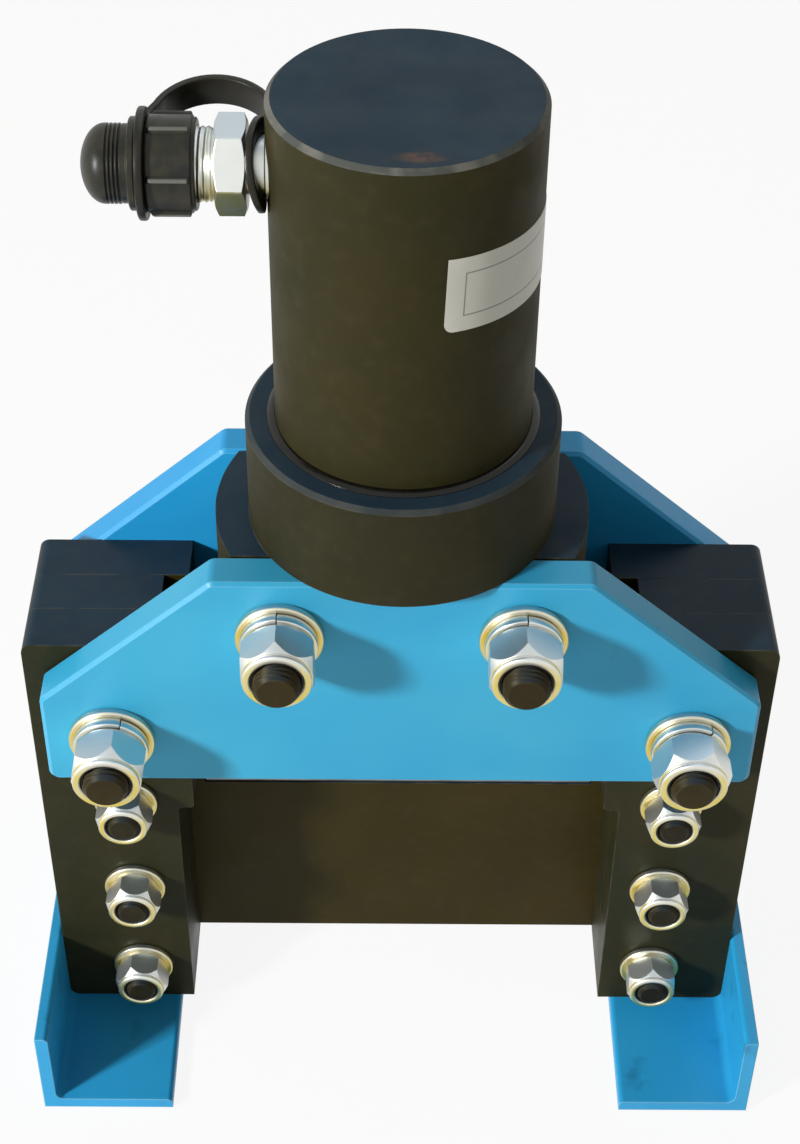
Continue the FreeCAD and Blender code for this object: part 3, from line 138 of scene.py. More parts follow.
def black_oxide(name, marks, upright, dusky, pitch=0.9, roughness=0.36, gloss=0.13, rim=0.0, stain_at=None):
    """Hot black oxide, oiled: brown-black where it stands upright, with a painted reflection
    of a blue sky where it lies level, duller in patches, rubbed to grey at the edges, and
    with a painted highlight on a chamfered rim. The streaks of the cutter, or the rings of the
    lathe where marks is "turned", show in the gloss. Their pitch is coarser than a real cut's,
    so that they show."""
    material, tree, shader, place = new_finish(name)
    broad = add_node(tree, "TexNoise", {"Vector": place, "Scale": per_mm(34), "Detail": 4.0})
    broad = add_node(tree, "MapRange", {"Value": broad, "From Min": 0.35, "From Max": 0.68})
    cast = add_node(tree, "Mix", {SHARE: broad, UNDER: upright, OVER: dusky}, **IN_COLOUR)
    facing = add_node(tree, "SeparateXYZ", {0: add_node(tree, "TexCoord", out="Normal")}, "Z")
    level = add_node(tree, "MapRange", {"Value": facing, "From Min": 0.5, "From Max": 0.9})
    # A painted reflection of a blue sky, on the faces that lie level.
    painted_sky_reflection = add_node(tree, "Mix", {SHARE: broad, UNDER: "#1D303F", OVER: "#253948"}, **IN_COLOUR)
    cast = add_node(tree, "Mix", {SHARE: level, UNDER: cast, OVER: painted_sky_reflection}, **IN_COLOUR)
    specks = add_node(tree, "TexNoise", {"Vector": place, "Scale": per_mm(5), "Detail": 6.0})
    bloom = add_node(tree, "MapRange", {"Value": specks, "From Min": 0.5, "From Max": 0.8, "To Max": 0.16})
    cast = add_node(tree, "Mix", {SHARE: bloom, UNDER: cast, OVER: "#4A4430"}, **IN_COLOUR)
    if stain_at:
        # A rust stain: an oval some millimetres across, broken up by a fine noise.
        shift = measured_from(tree, place, stain_at)
        oval = add_node(tree, "VectorMath", {0: shift, 1: (0.55, 1.4, 1.0)}, operation="MULTIPLY")
        away = add_node(tree, "VectorMath", {0: oval}, "Value", operation="LENGTH")
        near = add_node(tree, "MapRange", {"Value": away, "From Min": 5 * MM, "From Max": 1 * MM})
        blotch = add_node(tree, "TexNoise", {"Vector": place, "Scale": per_mm(4), "Detail": 4.0})
        blotch = add_node(tree, "MapRange", {"Value": blotch, "From Min": 0.3, "From Max": 0.55})
        rust = add_node(tree, "Math", {0: near, 1: blotch}, operation="MULTIPLY")
        cast = add_node(tree, "Mix", {SHARE: rust, UNDER: cast, OVER: "#6B5244"}, **IN_COLOUR)
    edge = along_edges(tree)
    # A wear noise: it rubs the edges to grey and breaks up the painted rim highlight.
    wear_and_highlight = add_node(tree, "TexNoise", {"Vector": place, "Scale": per_mm(9), "Detail": 4.0})
    wear_and_highlight = add_node(tree, "MapRange", {"Value": wear_and_highlight, "From Min": 0.4, "From Max": 0.62, "To Max": 0.6})
    worn = add_node(tree, "Math", {0: edge, 1: wear_and_highlight}, operation="MULTIPLY")
    colour = add_node(tree, "Mix", {SHARE: worn, UNDER: cast, OVER: "#676354"}, **IN_COLOUR)
    # A chamfer is told by its slope, between level and upright.
    sloping = add_node(tree, "Math", {0: facing, 1: 0.7, 2: 0.24}, operation="COMPARE")
    # The chamfer gets a painted highlight: a pale colour on the slope, broken up by the wear noise and
    # scaled by rim.
    painted_rim_highlight = add_node(tree, "Math", {0: wear_and_highlight, 1: 0.25, 2: 0.1}, operation="MULTIPLY_ADD")
    painted_rim_highlight = add_node(tree, "Math", {0: painted_rim_highlight, 1: sloping}, operation="MULTIPLY")
    painted_rim_highlight = add_node(tree, "Math", {0: painted_rim_highlight, 1: rim}, operation="MULTIPLY")
    colour = add_node(tree, "Mix", {SHARE: painted_rim_highlight, UNDER: colour, OVER: "#A5A296"}, **IN_COLOUR)
    if marks == "turned":
        worked = turned_place(tree, place, "Z", (0, 0, 0))
    else:
        worked = cut_place(tree, place, marks)
    streaks = add_node(tree, "TexNoise", {"Vector": worked, "Scale": per_mm(pitch), "Detail": 2.0})
    bump = add_node(tree, "Bump", {"Height": streaks, "Distance": 0.02 * MM, "Strength": 1.0})
    dull = add_node(tree, "TexNoise", {"Vector": place, "Scale": per_mm(18), "Detail": 4.0})
    feed(tree, shader, {
        "Base Color": colour,
        "Roughness": add_node(tree, "MapRange", {"Value": dull, "From Min": 0.3, "From Max": 0.7,
                                                 "To Min": roughness, "To Max": roughness + 0.14}),
        "Normal": add_node(tree, "Bevel", {"Radius": 0.5 * MM, "Normal": bump}, samples=EDGE_RAYS),
        "Specular IOR Level": gloss,
        "Specular Tint": "#E8DFC0",
    })
    return material


def finish_node(name, material):
    """Gives a carried-over solid its finish."""
    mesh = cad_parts[name].data
    mesh.materials.clear()
    mesh.materials.append(material)


# The bars are an olive black with upright cutter streaks. The rear frame is browner.
flat_bar_finish = black_oxide("blackened_flat_bar", marks="Z", upright="#262819", dusky="#2E2B17")
for leg in ("front_leg_left", "front_leg_right", "guide_spacer_left", "guide_spacer_right"):
    finish_node(leg, flat_bar_finish)
# Browner than the bars: painted shade, as the frame looks in the shade behind them.
rear_frame_finish = black_oxide("blackened_rear_frame", marks="Z", upright="#2F290A", dusky="#362D0D")
finish_node("rear_frame", rear_frame_finish)


# Blades and blade holder: the blades are hardened tool steel, ground across their
# length; the holder that carries the upper one is milled steel, blackened and oiled.

def ground_steel(name, marks):
    """Ground tool steel: a grey metal with fine straight lines and a few oil stains.
    The lines are half a millimetre apart, coarser than a grinding wheel's."""
    material, tree, shader, place = new_finish(name)
    worked = cut_place(tree, place, marks)
    lines = add_node(tree, "TexNoise", {"Vector": worked, "Scale": per_mm(0.5), "Detail": 2.0})
    stains = add_node(tree, "TexNoise", {"Vector": place, "Scale": per_mm(14), "Detail": 4.0})
    stains = add_node(tree, "MapRange", {"Value": stains, "From Min": 0.45, "From Max": 0.8})
    bump = add_node(tree, "Bump", {"Height": lines, "Distance": 0.01 * MM, "Strength": 1.0})
    feed(tree, shader, {
        "Base Color": add_node(tree, "Mix", {SHARE: stains, UNDER: "#8D8C8A", OVER: "#6A6863"}, **IN_COLOUR),
        "Roughness": add_node(tree, "MapRange", {"Value": lines, "To Min": 0.22, "To Max": 0.44}),
        "Normal": add_node(tree, "Bevel", {"Radius": 0.3 * MM, "Normal": bump}, samples=EDGE_RAYS),
        "Metallic": 1.0,
    })
    return material


# The blades shine grey. The holder is the brownest black, a painted reflection of a
# brown ground, with streaks that run across.
blade_finish = ground_steel("ground_tool_steel", marks="Y")
finish_node("lower_blade", blade_finish)
finish_node("upper_blade", blade_finish)
holder_finish = black_oxide("blackened_holder", marks="X", upright="#352E0E", dusky="#403714")
finish_node("blade_holder", holder_finish)


# Rod, fork pin, piston and their rings: the rod is hard chromed and polished, the
# piston and its nut are turned steel, and the guide ring and the bush are bronze.

def box_mm(name):
    """Two opposite corners of a carried-over solid's box, in millimetres."""
    return [Vector([round(c / MM, 3) for c in corner]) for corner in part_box(name)]


def turned_metal(name, tone, stain, roughness, axis="Z", centre=(0, 0, 0)):
    """Bare turned metal: lathe rings catch the light round the axis. They are 0.6 mm
    apart, coarser than a finishing cut's, so that they show."""
    material, tree, shader, place = new_finish(name)
    worked = turned_place(tree, place, axis, centre)
    rings = add_node(tree, "TexNoise", {"Vector": worked, "Scale": per_mm(0.6), "Detail": 1.0})
    stains = add_node(tree, "TexNoise", {"Vector": place, "Scale": per_mm(11), "Detail": 4.0})
    stains = add_node(tree, "MapRange", {"Value": stains, "From Min": 0.45, "From Max": 0.8})
    bump = add_node(tree, "Bump", {"Height": rings, "Distance": 0.008 * MM, "Strength": 1.0})
    feed(tree, shader, {
        "Base Color": add_node(tree, "Mix", {SHARE: stains, UNDER: tone, OVER: stain}, **IN_COLOUR),
        "Roughness": add_node(tree, "MapRange", {"Value": rings, "To Min": roughness - 0.06,
                                                 "To Max": roughness + 0.1}),
        "Normal": add_node(tree, "Bevel", {"Radius": 0.25 * MM, "Normal": bump}, samples=EDGE_RAYS),
        "Metallic": 1.0,
    })
    return material


# Plain steel is a mid grey, chrome is bright and nearly a mirror, and bronze is golden.
STEEL = {"tone": "#8B8A88", "stain": "#716F6B"}
PIN_AXIS = (0, 0, 186)

turned_steel = turned_metal("turned_steel", roughness=0.34, **STEEL)
bronze = turned_metal("turned_bronze", tone="#B08A4E", stain="#8C6A38", roughness=0.33)
hard_chrome = turned_metal("hard_chrome", tone="#C9CBD0", stain="#BDBFC4", roughness=0.14)
turned_pin = turned_metal("turned_pin", roughness=0.3, axis="Y", centre=PIN_AXIS, **STEEL)
finish_node("piston_rod", hard_chrome)
finish_node("fork_pin", turned_pin)
for turned in ("piston", "piston_nut"):
    finish_node(turned, turned_steel)
for bearing in ("piston_guide_ring", "rod_bush"):
    finish_node(bearing, bronze)


# Seals and springs: moulded nitrile rubber, black and slightly bloomed, and
# oil-tempered spring wire, blue-black and smooth.

def moulded_rubber(name):
    """Nitrile rubber: matt black with a grey bloom in patches and a fine grain."""
    material, tree, shader, place = new_finish(name)
    bloom = add_node(tree, "TexNoise", {"Vector": place, "Scale": per_mm(3), "Detail": 4.0})
    bloom = add_node(tree, "MapRange", {"Value": bloom, "From Min": 0.45, "From Max": 0.8})
    grain = add_node(tree, "TexNoise", {"Vector": place, "Scale": per_mm(0.4)})
    bump = add_node(tree, "Bump", {"Height": grain, "Distance": 0.01 * MM, "Strength": 1.0})
    feed(tree, shader, {
        "Base Color": add_node(tree, "Mix", {SHARE: bloom, UNDER: "#161616", OVER: "#262626"}, **IN_COLOUR),
        "Normal": add_node(tree, "Bevel", {"Radius": 0.2 * MM, "Normal": bump}, samples=EDGE_RAYS),
        "Roughness": 0.6,
    })
    return material


nitrile = moulded_rubber("nitrile_rubber")
for seal in ("piston_seal", "rod_seal", "rod_wiper", "base_seal"):
    finish_node(seal, nitrile)
# The wire is a dark blue-grey metal.
spring_wire = turned_metal("oil_tempered_wire", tone="#3A3B40", stain="#2C2C30", roughness=0.36)
for spring in ("return_spring", "coupler_valve_spring"):
    finish_node(spring, spring_wire)
# The return spring stands on the base and shortens as the piston comes down.
# Here its box is read and it gets a mesh of its own.
seat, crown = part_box("return_spring")
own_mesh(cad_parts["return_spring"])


# Cylinder base and barrel: turned from steel bar, screwed together, then blackened
# and oiled. The rim of the barrel has a painted highlight and its top has a rust stain.

BASE_TOP = box_mm("cylinder_base")[1].z
BARREL_RADIUS = box_mm("cylinder_barrel")[1].x
BARREL_TOP = box_mm("cylinder_barrel")[1].z

# Both are duller than the bars, with lathe rings in the gloss. The base's rims get a weaker painted
# highlight.
LATHE_CUT = {"marks": "turned", "pitch": 1.1, "roughness": 0.58, "gloss": 0.2}
base_finish = black_oxide("blackened_base", upright="#232315", dusky="#292614", rim=0.3, **LATHE_CUT)
finish_node("cylinder_base", base_finish)
barrel_finish = black_oxide("blackened_barrel", upright="#262412", dusky="#2C2811", rim=1.5,
                            stain_at=(3.6, -35, BARREL_TOP), **LATHE_CUT)
finish_node("cylinder_barrel", barrel_finish)


# Side plates and feet: flame-cut plate and lengths of rolled angle, sprayed with
# a blue enamel that is thin on the edges, with a painted highlight there, and scuffed on the feet.

def blue_enamel(name, low, high, scuffs):
    """Sprayed enamel: a soft gloss with fine orange peel, paler along its edges, where the coat
    is thin and a highlight is painted, and smudged with oil in places."""
    material, tree, shader, place = new_finish(name)
    broad = add_node(tree, "TexNoise", {"Vector": place, "Scale": per_mm(55), "Detail": 4.0})
    broad = add_node(tree, "MapRange", {"Value": broad, "From Min": 0.35, "From Max": 0.7})
    coat = add_node(tree, "Mix", {SHARE: broad, UNDER: low, OVER: high}, **IN_COLOUR)
    edge = along_edges(tree)
    # Paler along the edges: a thin coat and a painted highlight.
    coat = add_node(tree, "Mix", {SHARE: edge, UNDER: coat, OVER: "#7FC3E0"}, **IN_COLOUR)
    smears = add_node(tree, "TexNoise", {"Vector": place, "Scale": per_mm(17), "Detail": 8.0})
    smears = add_node(tree, "MapRange", {"Value": smears, "From Min": 0.74 - scuffs,
                                         "From Max": 0.95 - scuffs})
    peel = add_node(tree, "TexNoise", {"Vector": place, "Scale": per_mm(1.6), "Detail": 1.0})
    bump = add_node(tree, "Bump", {"Height": peel, "Distance": 0.015 * MM, "Strength": 1.0})
    dull = add_node(tree, "TexNoise", {"Vector": place, "Scale": per_mm(25), "Detail": 4.0})
    feed(tree, shader, {
        "Base Color": add_node(tree, "Mix", {SHARE: smears, UNDER: coat, OVER: "#1A6187"}, **IN_COLOUR),
        "Roughness": add_node(tree, "MapRange", {"Value": dull, "From Min": 0.3, "From Max": 0.8,
                                                 "To Min": 0.34, "To Max": 0.46}),
        "Normal": add_node(tree, "Bevel", {"Radius": 0.6 * MM, "Normal": bump}, samples=EDGE_RAYS),
        "Specular IOR Level": 0.3,
    })
    return material


# The front plate is a greener blue than the rear one, and only the feet are scuffed.
front_enamel = blue_enamel("blue_front_enamel", low="#2D9CC8", high="#3BA6CA", scuffs=0.0)
rear_enamel = blue_enamel("blue_rear_enamel", low="#249DDA", high="#2CA6E2", scuffs=0.0)
foot_enamel = blue_enamel("blue_foot_enamel", low="#269DD4", high="#2FA6DB", scuffs=0.12)
finish_node("front_side_plate", front_enamel)
finish_node("rear_side_plate", rear_enamel)
for foot in ("foot_left", "foot_right"):
    finish_node(foot, foot_enamel)


# Blade and foot screws: low-head socket screws of black alloy steel, sunk into the
# frame, the holder and the underside of the feet. They look brown-black and oily.

bolt_steel = black_oxide("black_bolt_steel", marks="Y", upright="#322A14", dusky="#28210F", pitch=0.5)
for screws in ("foot_screws", "lower_blade_screws", "upper_blade_screws"):
    finish_node(screws, bolt_steel)


# Through bolts: black hexagon bolts put in from the rear, their threads cut with
# a helical groove and their ends chamfered. Four hold the plates, six the legs.

CIRCLE = 2 * math.pi
SHARP_EDGE = math.radians(24)

LARGE_PLACES = [(-41, 219.8), (41, 219.8), (-101, 170), (101, 170)]
SMALL_PLACES = [(side * 101, level) for side in (-1, 1) for level in (26, 74, 122)]

LARGE_RADIUS = 8
LARGE_FLATS = 24
LARGE_WASHER = {"inner": 8.5, "outer": 15, "thickness": 3}
LARGE_NUT_HEIGHT = 16
SPRING_WASHER_HEIGHT = 4
SMALL_RADIUS = 6
SMALL_FLATS = 18
SMALL_WASHER = {"inner": 6.5, "outer": 11.6, "thickness": 2.5}
SMALL_NUT_HEIGHT = 12

# Levels from the machine's middle plane outwards, the same to the front and to the rear.
PLATE_FACE = box_mm("rear_side_plate")[1].y
LEG_FACE = box_mm("rear_frame")[1].y
LARGE_SEAT = PLATE_FACE + LARGE_WASHER["thickness"]
LARGE_NUT_SEAT = LARGE_SEAT + SPRING_WASHER_HEIGHT
SMALL_SEAT = LEG_FACE + SMALL_WASHER["thickness"]

# From under a bolt's head to the outer end of its nut, and how far the thread stands out.
LARGE_GRIP = LARGE_SEAT + LARGE_NUT_SEAT + LARGE_NUT_HEIGHT
LARGE_REVEALS = (4.8, 4.9, 3.3, 3.2)
SMALL_GRIP = SMALL_SEAT + SMALL_SEAT + SMALL_NUT_HEIGHT
SMALL_REVEAL = 0.6

TOWARDS_FRONT = Matrix.Rotation(math.pi / 2, 4, "X")
TOWARDS_REAR = Matrix.Rotation(-math.pi / 2, 4, "X")


def turned_by(degrees):
    """A turn about a fastener's own axis, clockwise as its outer end is seen."""
    return Matrix.Rotation(-math.radians(degrees), 4, "Z")


def hexagon(flats, turn=0.0):
    """Distance from the axis at each angle of a hexagon with one corner at this turn."""
    def reach(angle):
        from_flat = (angle - math.radians(turn)) % (CIRCLE / 6) - CIRCLE / 12
        return flats / 2 / math.cos(from_flat)
    return reach


def turned_off(level, reach, start, slope):
    """Level at each angle of a cone that cuts the corners outside the start radius. It
    rises by the slope for each millimetre outwards, or falls where that is negative."""
    return lambda angle: level + slope * max(0.0, reach(angle) - start)


def thread(crest, depth, pitch, level, limit):
    """Distance from the axis at each angle of a screw thread, at one level, and never
    beyond the limit, which a chamfer or a runout sets."""
    def reach(angle):
        phase = (level / pitch - angle / CIRCLE) % 1
        return min(limit, crest - depth * (1 - abs(2 * phase - 1)))
    return reach


def skin(stations, segments=72, closed=False):
    """A shape round the Z axis, extruded ring by ring. A station is a level and
    a distance from the axis, each in millimetres, fixed or given by the angle."""
    bm = bmesh.new()

    def place(verts, level, reach):
        for vert in verts:
            angle = math.atan2(vert.co.x, vert.co.y)
            distance = reach(angle) if callable(reach) else reach
            vert.co = (distance * math.sin(angle), distance * math.cos(angle),
                       level(angle) if callable(level) else level)

    ring = bmesh.ops.create_circle(bm, cap_ends=False, radius=1, segments=segments)["verts"]
    edges = bm.edges[:]
    first = edges
    place(ring, *stations[0])
    for level, reach in stations[1:]:
        grown = bmesh.ops.extrude_edge_only(bm, edges=edges)["geom"]
        edges = [item for item in grown if isinstance(item, bmesh.types.BMEdge)]
        place([item for item in grown if isinstance(item, bmesh.types.BMVert)], level, reach)
    if closed:
        bmesh.ops.bridge_loops(bm, edges=first + edges)
    else:
        for loop in (first, edges):
            bmesh.ops.edgeloop_fill(bm, edges=loop)
    bmesh.ops.recalc_face_normals(bm, faces=bm.faces[:])
    return bm


def join(whole, part, matrix):
    """Adds a part to the whole at its place, and lets go of the part."""
    mesh = bpy.data.meshes.new("part")
    part.to_mesh(mesh)
    part.free()
    mesh.transform(matrix)
    whole.from_mesh(mesh)
    bpy.data.meshes.remove(mesh)


def new_piece(name, bm, material, slot, *nodes):
    """Makes the object from millimetres, smooth but for its sharp edges. The slot is not used."""
    bmesh.ops.scale(bm, vec=(MM, MM, MM), verts=bm.verts[:])
    mesh = bpy.data.meshes.new(name)
    bm.to_mesh(mesh)
    bm.free()
    mesh.shade_smooth()
    mesh.set_sharp_from_angle(angle=SHARP_EDGE)
    mesh.materials.append(material)
    piece = bpy.data.objects.new(name, mesh)
    bpy.context.scene.collection.objects.link(piece)
    if nodes:
        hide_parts(*nodes)
    return piece


def bolt(radius, flats, head_height, thread_start, end, pitch, chamfer):
    """A bolt along Z: its head below 0, then its shank and thread up to the end."""
    head = hexagon(flats)
    pad_radius = flats / 2 * 0.94
    pad_height = 0.6
    dish = 1.2
    depth = pitch * 0.6
    steps_per_turn = 8
    stations = [
        (-head_height, pad_radius - dish),
        (-head_height, pad_radius),
        (turned_off(-head_height, head, pad_radius, slope=0.577), head),
        (-pad_height, head),
        (-pad_height, pad_radius),
        (0.0, pad_radius),
        (0.0, radius),
        (thread_start - pitch, radius),
    ]
    steps = round((end - thread_start) / pitch * steps_per_turn)
    for step in range(steps + 1):
        level = thread_start + (end - thread_start) * step / steps
        chamfered = radius - chamfer + (end - level)
        stations.append((level, thread(radius, depth, pitch, level, limit=chamfered)))
    stations.append((end, radius - chamfer - depth))
    return skin(stations)


large_bolts = bmesh.new()
for (x, z), turn, reveal in zip(LARGE_PLACES, (12, -8, 25, 5), LARGE_REVEALS):
    one = bolt(LARGE_RADIUS, LARGE_FLATS, head_height=10, thread_start=94, end=LARGE_GRIP + reveal,
               pitch=2.0, chamfer=1.7)
    join(large_bolts, one, Matrix.Translation((x, LARGE_SEAT, z)) @ TOWARDS_FRONT @ turned_by(turn))
piece = new_piece("large_through_bolts", large_bolts, bolt_steel, "black_bolt_steel", "large_bolts")
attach(piece, "frame")

small_bolts = bmesh.new()
for (x, z), turn in zip(SMALL_PLACES, (4, 21, -13, 9, 28, -3)):
    one = bolt(SMALL_RADIUS, SMALL_FLATS, head_height=7.5, thread_start=56, end=SMALL_GRIP + SMALL_REVEAL,
               pitch=1.75, chamfer=1.4)
    join(small_bolts, one, Matrix.Translation((x, SMALL_SEAT, z)) @ TOWARDS_FRONT @ turned_by(turn))
# The small bolts are a shade darker than the large ones.
small_steel = black_oxide("black_small_bolt_steel", marks="Y", upright="#262213", dusky="#1E1B10", pitch=0.5)
piece = new_piece("small_through_bolts", small_bolts, small_steel, "black_bolt_steel", "small_bolts")
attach(piece, "frame")


# Washers: stamped flat washers under every head and nut, and split spring washers
# under the four large nuts. All are zinc plated with a yellow passivation.

def yellow_zinc(name, silver, straw, roughness=0.34, along_x=False):
    """Bright zinc with a straw passivation, laid on as a painted reflection of a brown ground: on
    the end faces of nuts and washers below their tops, or under a piece that lies along X.
    Faces that lie level get a painted blue-grey reflection of the sky."""
    material, tree, shader, place = new_finish(name)
    facing = add_node(tree, "TexCoord", out="Normal")
    upward = add_node(tree, "SeparateXYZ", {0: facing}, "Z")
    # Straw passivation, placed low as a painted reflection of a brown ground.
    if along_x:
        straw_and_ground_reflection = add_node(tree, "MapRange", {"Value": upward, "From Min": 0.25, "From Max": -0.4})
    else:
        frontward = add_node(tree, "SeparateXYZ", {0: facing}, "Y")
        endward = add_node(tree, "Math", {0: frontward}, operation="ABSOLUTE")
        endward = add_node(tree, "MapRange", {"Value": endward, "From Min": 0.7, "From Max": 0.95})
        lowness = add_node(tree, "Attribute", out="Fac", attribute_name="lowness")
        lowness = add_node(tree, "MapRange", {"Value": lowness, "From Min": -0.75, "From Max": -0.3})
        straw_and_ground_reflection = add_node(tree, "Math", {0: endward, 1: lowness}, operation="MULTIPLY")
    drift = add_node(tree, "TexNoise", {"Vector": place, "Scale": per_mm(7), "Detail": 3.0})
    drift = add_node(tree, "MapRange", {"Value": drift, "From Min": 0.35, "From Max": 0.65, "To Min": 0.65})
    straw_and_ground_reflection = add_node(tree, "Math", {0: straw_and_ground_reflection, 1: drift}, operation="MULTIPLY")
    tint = add_node(tree, "Mix", {SHARE: straw_and_ground_reflection, UNDER: silver, OVER: straw}, **IN_COLOUR)
    # A painted blue-grey reflection of the sky, on faces that lie level.
    level = add_node(tree, "MapRange", {"Value": upward, "From Min": 0.7, "From Max": 0.98, "To Max": 0.8})
    feed(tree, shader, {
        "Base Color": add_node(tree, "Mix", {SHARE: level, UNDER: tint, OVER: "#AEBBC4"}, **IN_COLOUR),
        "Roughness": add_node(tree, "MapRange", {"Value": drift, "To Min": roughness - 0.03,
                                                 "To Max": roughness + 0.06}),
        "Normal": add_node(tree, "Bevel", {"Radius": 0.3 * MM}, samples=EDGE_RAYS),
        "Metallic": 1.0,
    })
    return material


# The flat washers are the most yellow. The spring washers are paler and a little glossier.
washer_zinc = yellow_zinc("straw_zinc_plate", silver="#DAD4BC", straw="#DCC35C")
bright_zinc = yellow_zinc("bright_zinc_plate", silver="#DEDFDA", straw="#DCD29A", roughness=0.3)


def flat_washer(inner, outer, thickness):
    """A stamped washer from 0 up, its outer edge rolled over a little."""
    roll = thickness * 0.22
    burr = 0.3
    stations = [
        (0.0, inner),
        (0.0, outer - roll),
        (roll * 0.4, outer - roll * 0.3),
        (roll, outer),
        (thickness - roll, outer),
        (thickness - roll * 0.4, outer - roll * 0.3),
        (thickness, outer - roll),
        (thickness, inner + burr),
        (thickness - burr, inner),
    ]
    return skin(stations, closed=True)


def mark_lowness(bm, places, reach):
    """Notes on each point how far it is below its own bolt, as a share of this reach."""
    layer = bm.verts.layers.float.new("lowness")
    for vert in bm.verts:
        x, z = min(places, key=lambda place: (vert.co.x - place[0]) ** 2 + (vert.co.z - place[1]) ** 2)
        vert[layer] = (z - vert.co.z) / reach


def washer_set(name, places, sizes, bearing_y, facing):
    """The flat washers on one side of the bolts of one size, each on its bearing face."""
    whole = bmesh.new()
    for x, z in places:
        join(whole, flat_washer(**sizes), Matrix.Translation((x, bearing_y, z)) @ facing)
    mark_lowness(whole, places, sizes["outer"])
    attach(new_piece(name + "_rolled", whole, washer_zinc, "zinc_plate", name), "frame")


washer_set("large_front_washers", LARGE_PLACES, LARGE_WASHER, -PLATE_FACE, TOWARDS_FRONT)
washer_set("large_rear_washers", LARGE_PLACES, LARGE_WASHER, PLATE_FACE, TOWARDS_REAR)
washer_set("small_front_washers", SMALL_PLACES, SMALL_WASHER, -LEG_FACE, TOWARDS_FRONT)
washer_set("small_rear_washers", SMALL_PLACES, SMALL_WASHER, LEG_FACE, TOWARDS_REAR)

SPLIT_SWEEP = 358
SPLIT_OFFSET = 0.42
COIL_RADIUS = 10.85
COIL_LEVEL = 1.8
COIL_HALF_WIDTH = 2.35
COIL_HALF_HEIGHT = 1.75
COIL_STEPS = 70

spring_washers = bmesh.new()
for (x, z), split in zip(LARGE_PLACES, (-2, 3, 19, 33)):
    coil = bmesh.new()
    section = bmesh.ops.create_grid(coil, x_segments=1, y_segments=1, size=1)["verts"]
    bmesh.ops.scale(coil, vec=(COIL_HALF_WIDTH, COIL_HALF_HEIGHT, 1), verts=section)
    bmesh.ops.bevel(coil, geom=section, affect="VERTICES", offset=0.5, segments=3, profile=0.5, material=-1)
    bmesh.ops.rotate(coil, cent=(0, 0, 0), matrix=Matrix.Rotation(math.pi / 2, 3, "X"), verts=coil.verts[:])
    bmesh.ops.translate(coil, vec=(COIL_RADIUS, 0, COIL_LEVEL), verts=coil.verts[:])
    bmesh.ops.spin(coil, geom=coil.faces[:], cent=(0, 0, 0), axis=(0, 0, 1), angle=math.radians(SPLIT_SWEEP),
                   dvec=(0, 0, SPLIT_OFFSET / COIL_STEPS), steps=COIL_STEPS)
    bmesh.ops.recalc_face_normals(coil, faces=coil.faces[:])
    gap_at = 90 + (360 - SPLIT_SWEEP) / 2
    seat = Matrix.Translation((x, -LARGE_SEAT, z)) @ TOWARDS_FRONT
    join(spring_washers, coil, seat @ turned_by(split - gap_at))
mark_lowness(spring_washers, LARGE_PLACES, LARGE_WASHER["outer"])
piece = new_piece("large_split_washers", spring_washers, bright_zinc, "zinc_plate", "large_spring_washers")
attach(piece, "frame")


# Lock nuts: cold-formed hexagon nuts, zinc plated, each with a rolled collar that
# holds a black nylon ring. Every nut was tightened to an angle of its own.

NUT_PLAY = 0.02


def lock_nut(radius, flats, height, rear, front, hex_height, collar, lip):
    """A nut from 0 up: the hexagon is turned off at both ends, so that its facets end
    in curves, and a rolled collar with a rounded lip stands on it."""
    hexa = hexagon(flats)
    throat = radius + NUT_PLAY
    stations = [
        (0.6, throat),
        (0.0, throat + 0.6),
        (0.0, rear),
        (turned_off(0.0, hexa, rear, slope=1.3), hexa),
        (turned_off(hex_height, hexa, front, slope=-1.9), hexa),
        (hex_height, front),
        (hex_height + 0.15, collar - 0.5),
        (hex_height + 0.45, collar - 0.55),
        (hex_height + 0.7, collar - 0.2),
        (hex_height + 1.1, collar),
        (height - 0.7, collar - 0.05),
        (height - 0.3, collar - 0.35),
        (height - 0.05, collar - 0.9),
        (height, collar - 1.3),
        (height - 0.05, lip + 0.5),
        (height - 0.4, lip),
        (height - 1.3, lip - 0.05),
        (height - 1.3, throat + 0.4),
        (hex_height - 1, throat),
    ]
    return skin(stations, closed=True)


def nylon_ring(radius, height, lip):
    """The locking ring under the collar's lip."""
    inner = radius + NUT_PLAY
    outer = lip - 0.1
    stations = [
        (height - 1.25, inner + 0.2),
        (height - 1.25, outer),
        (height - 0.95, outer - 0.05),
        (height - 0.8, (inner + outer) / 2),
        (height - 0.9, inner + 0.1),
        (height - 1.1, inner),
    ]
    return skin(stations, closed=True)


def nut_set(places, turns, seat_y, reach, nut):
    """The nuts of one size, and the nylon rings in them. The reach is the distance by
    which mark_lowness measures."""
    nuts = bmesh.new()
    rings = bmesh.new()
    for (x, z), turn in zip(places, turns):
        seat = Matrix.Translation((x, seat_y, z)) @ TOWARDS_FRONT @ turned_by(turn)
        join(nuts, lock_nut(**nut), seat)
        join(rings, nylon_ring(nut["radius"], nut["height"], nut["lip"]), seat)
    mark_lowness(nuts, places, reach)
    return nuts, rings


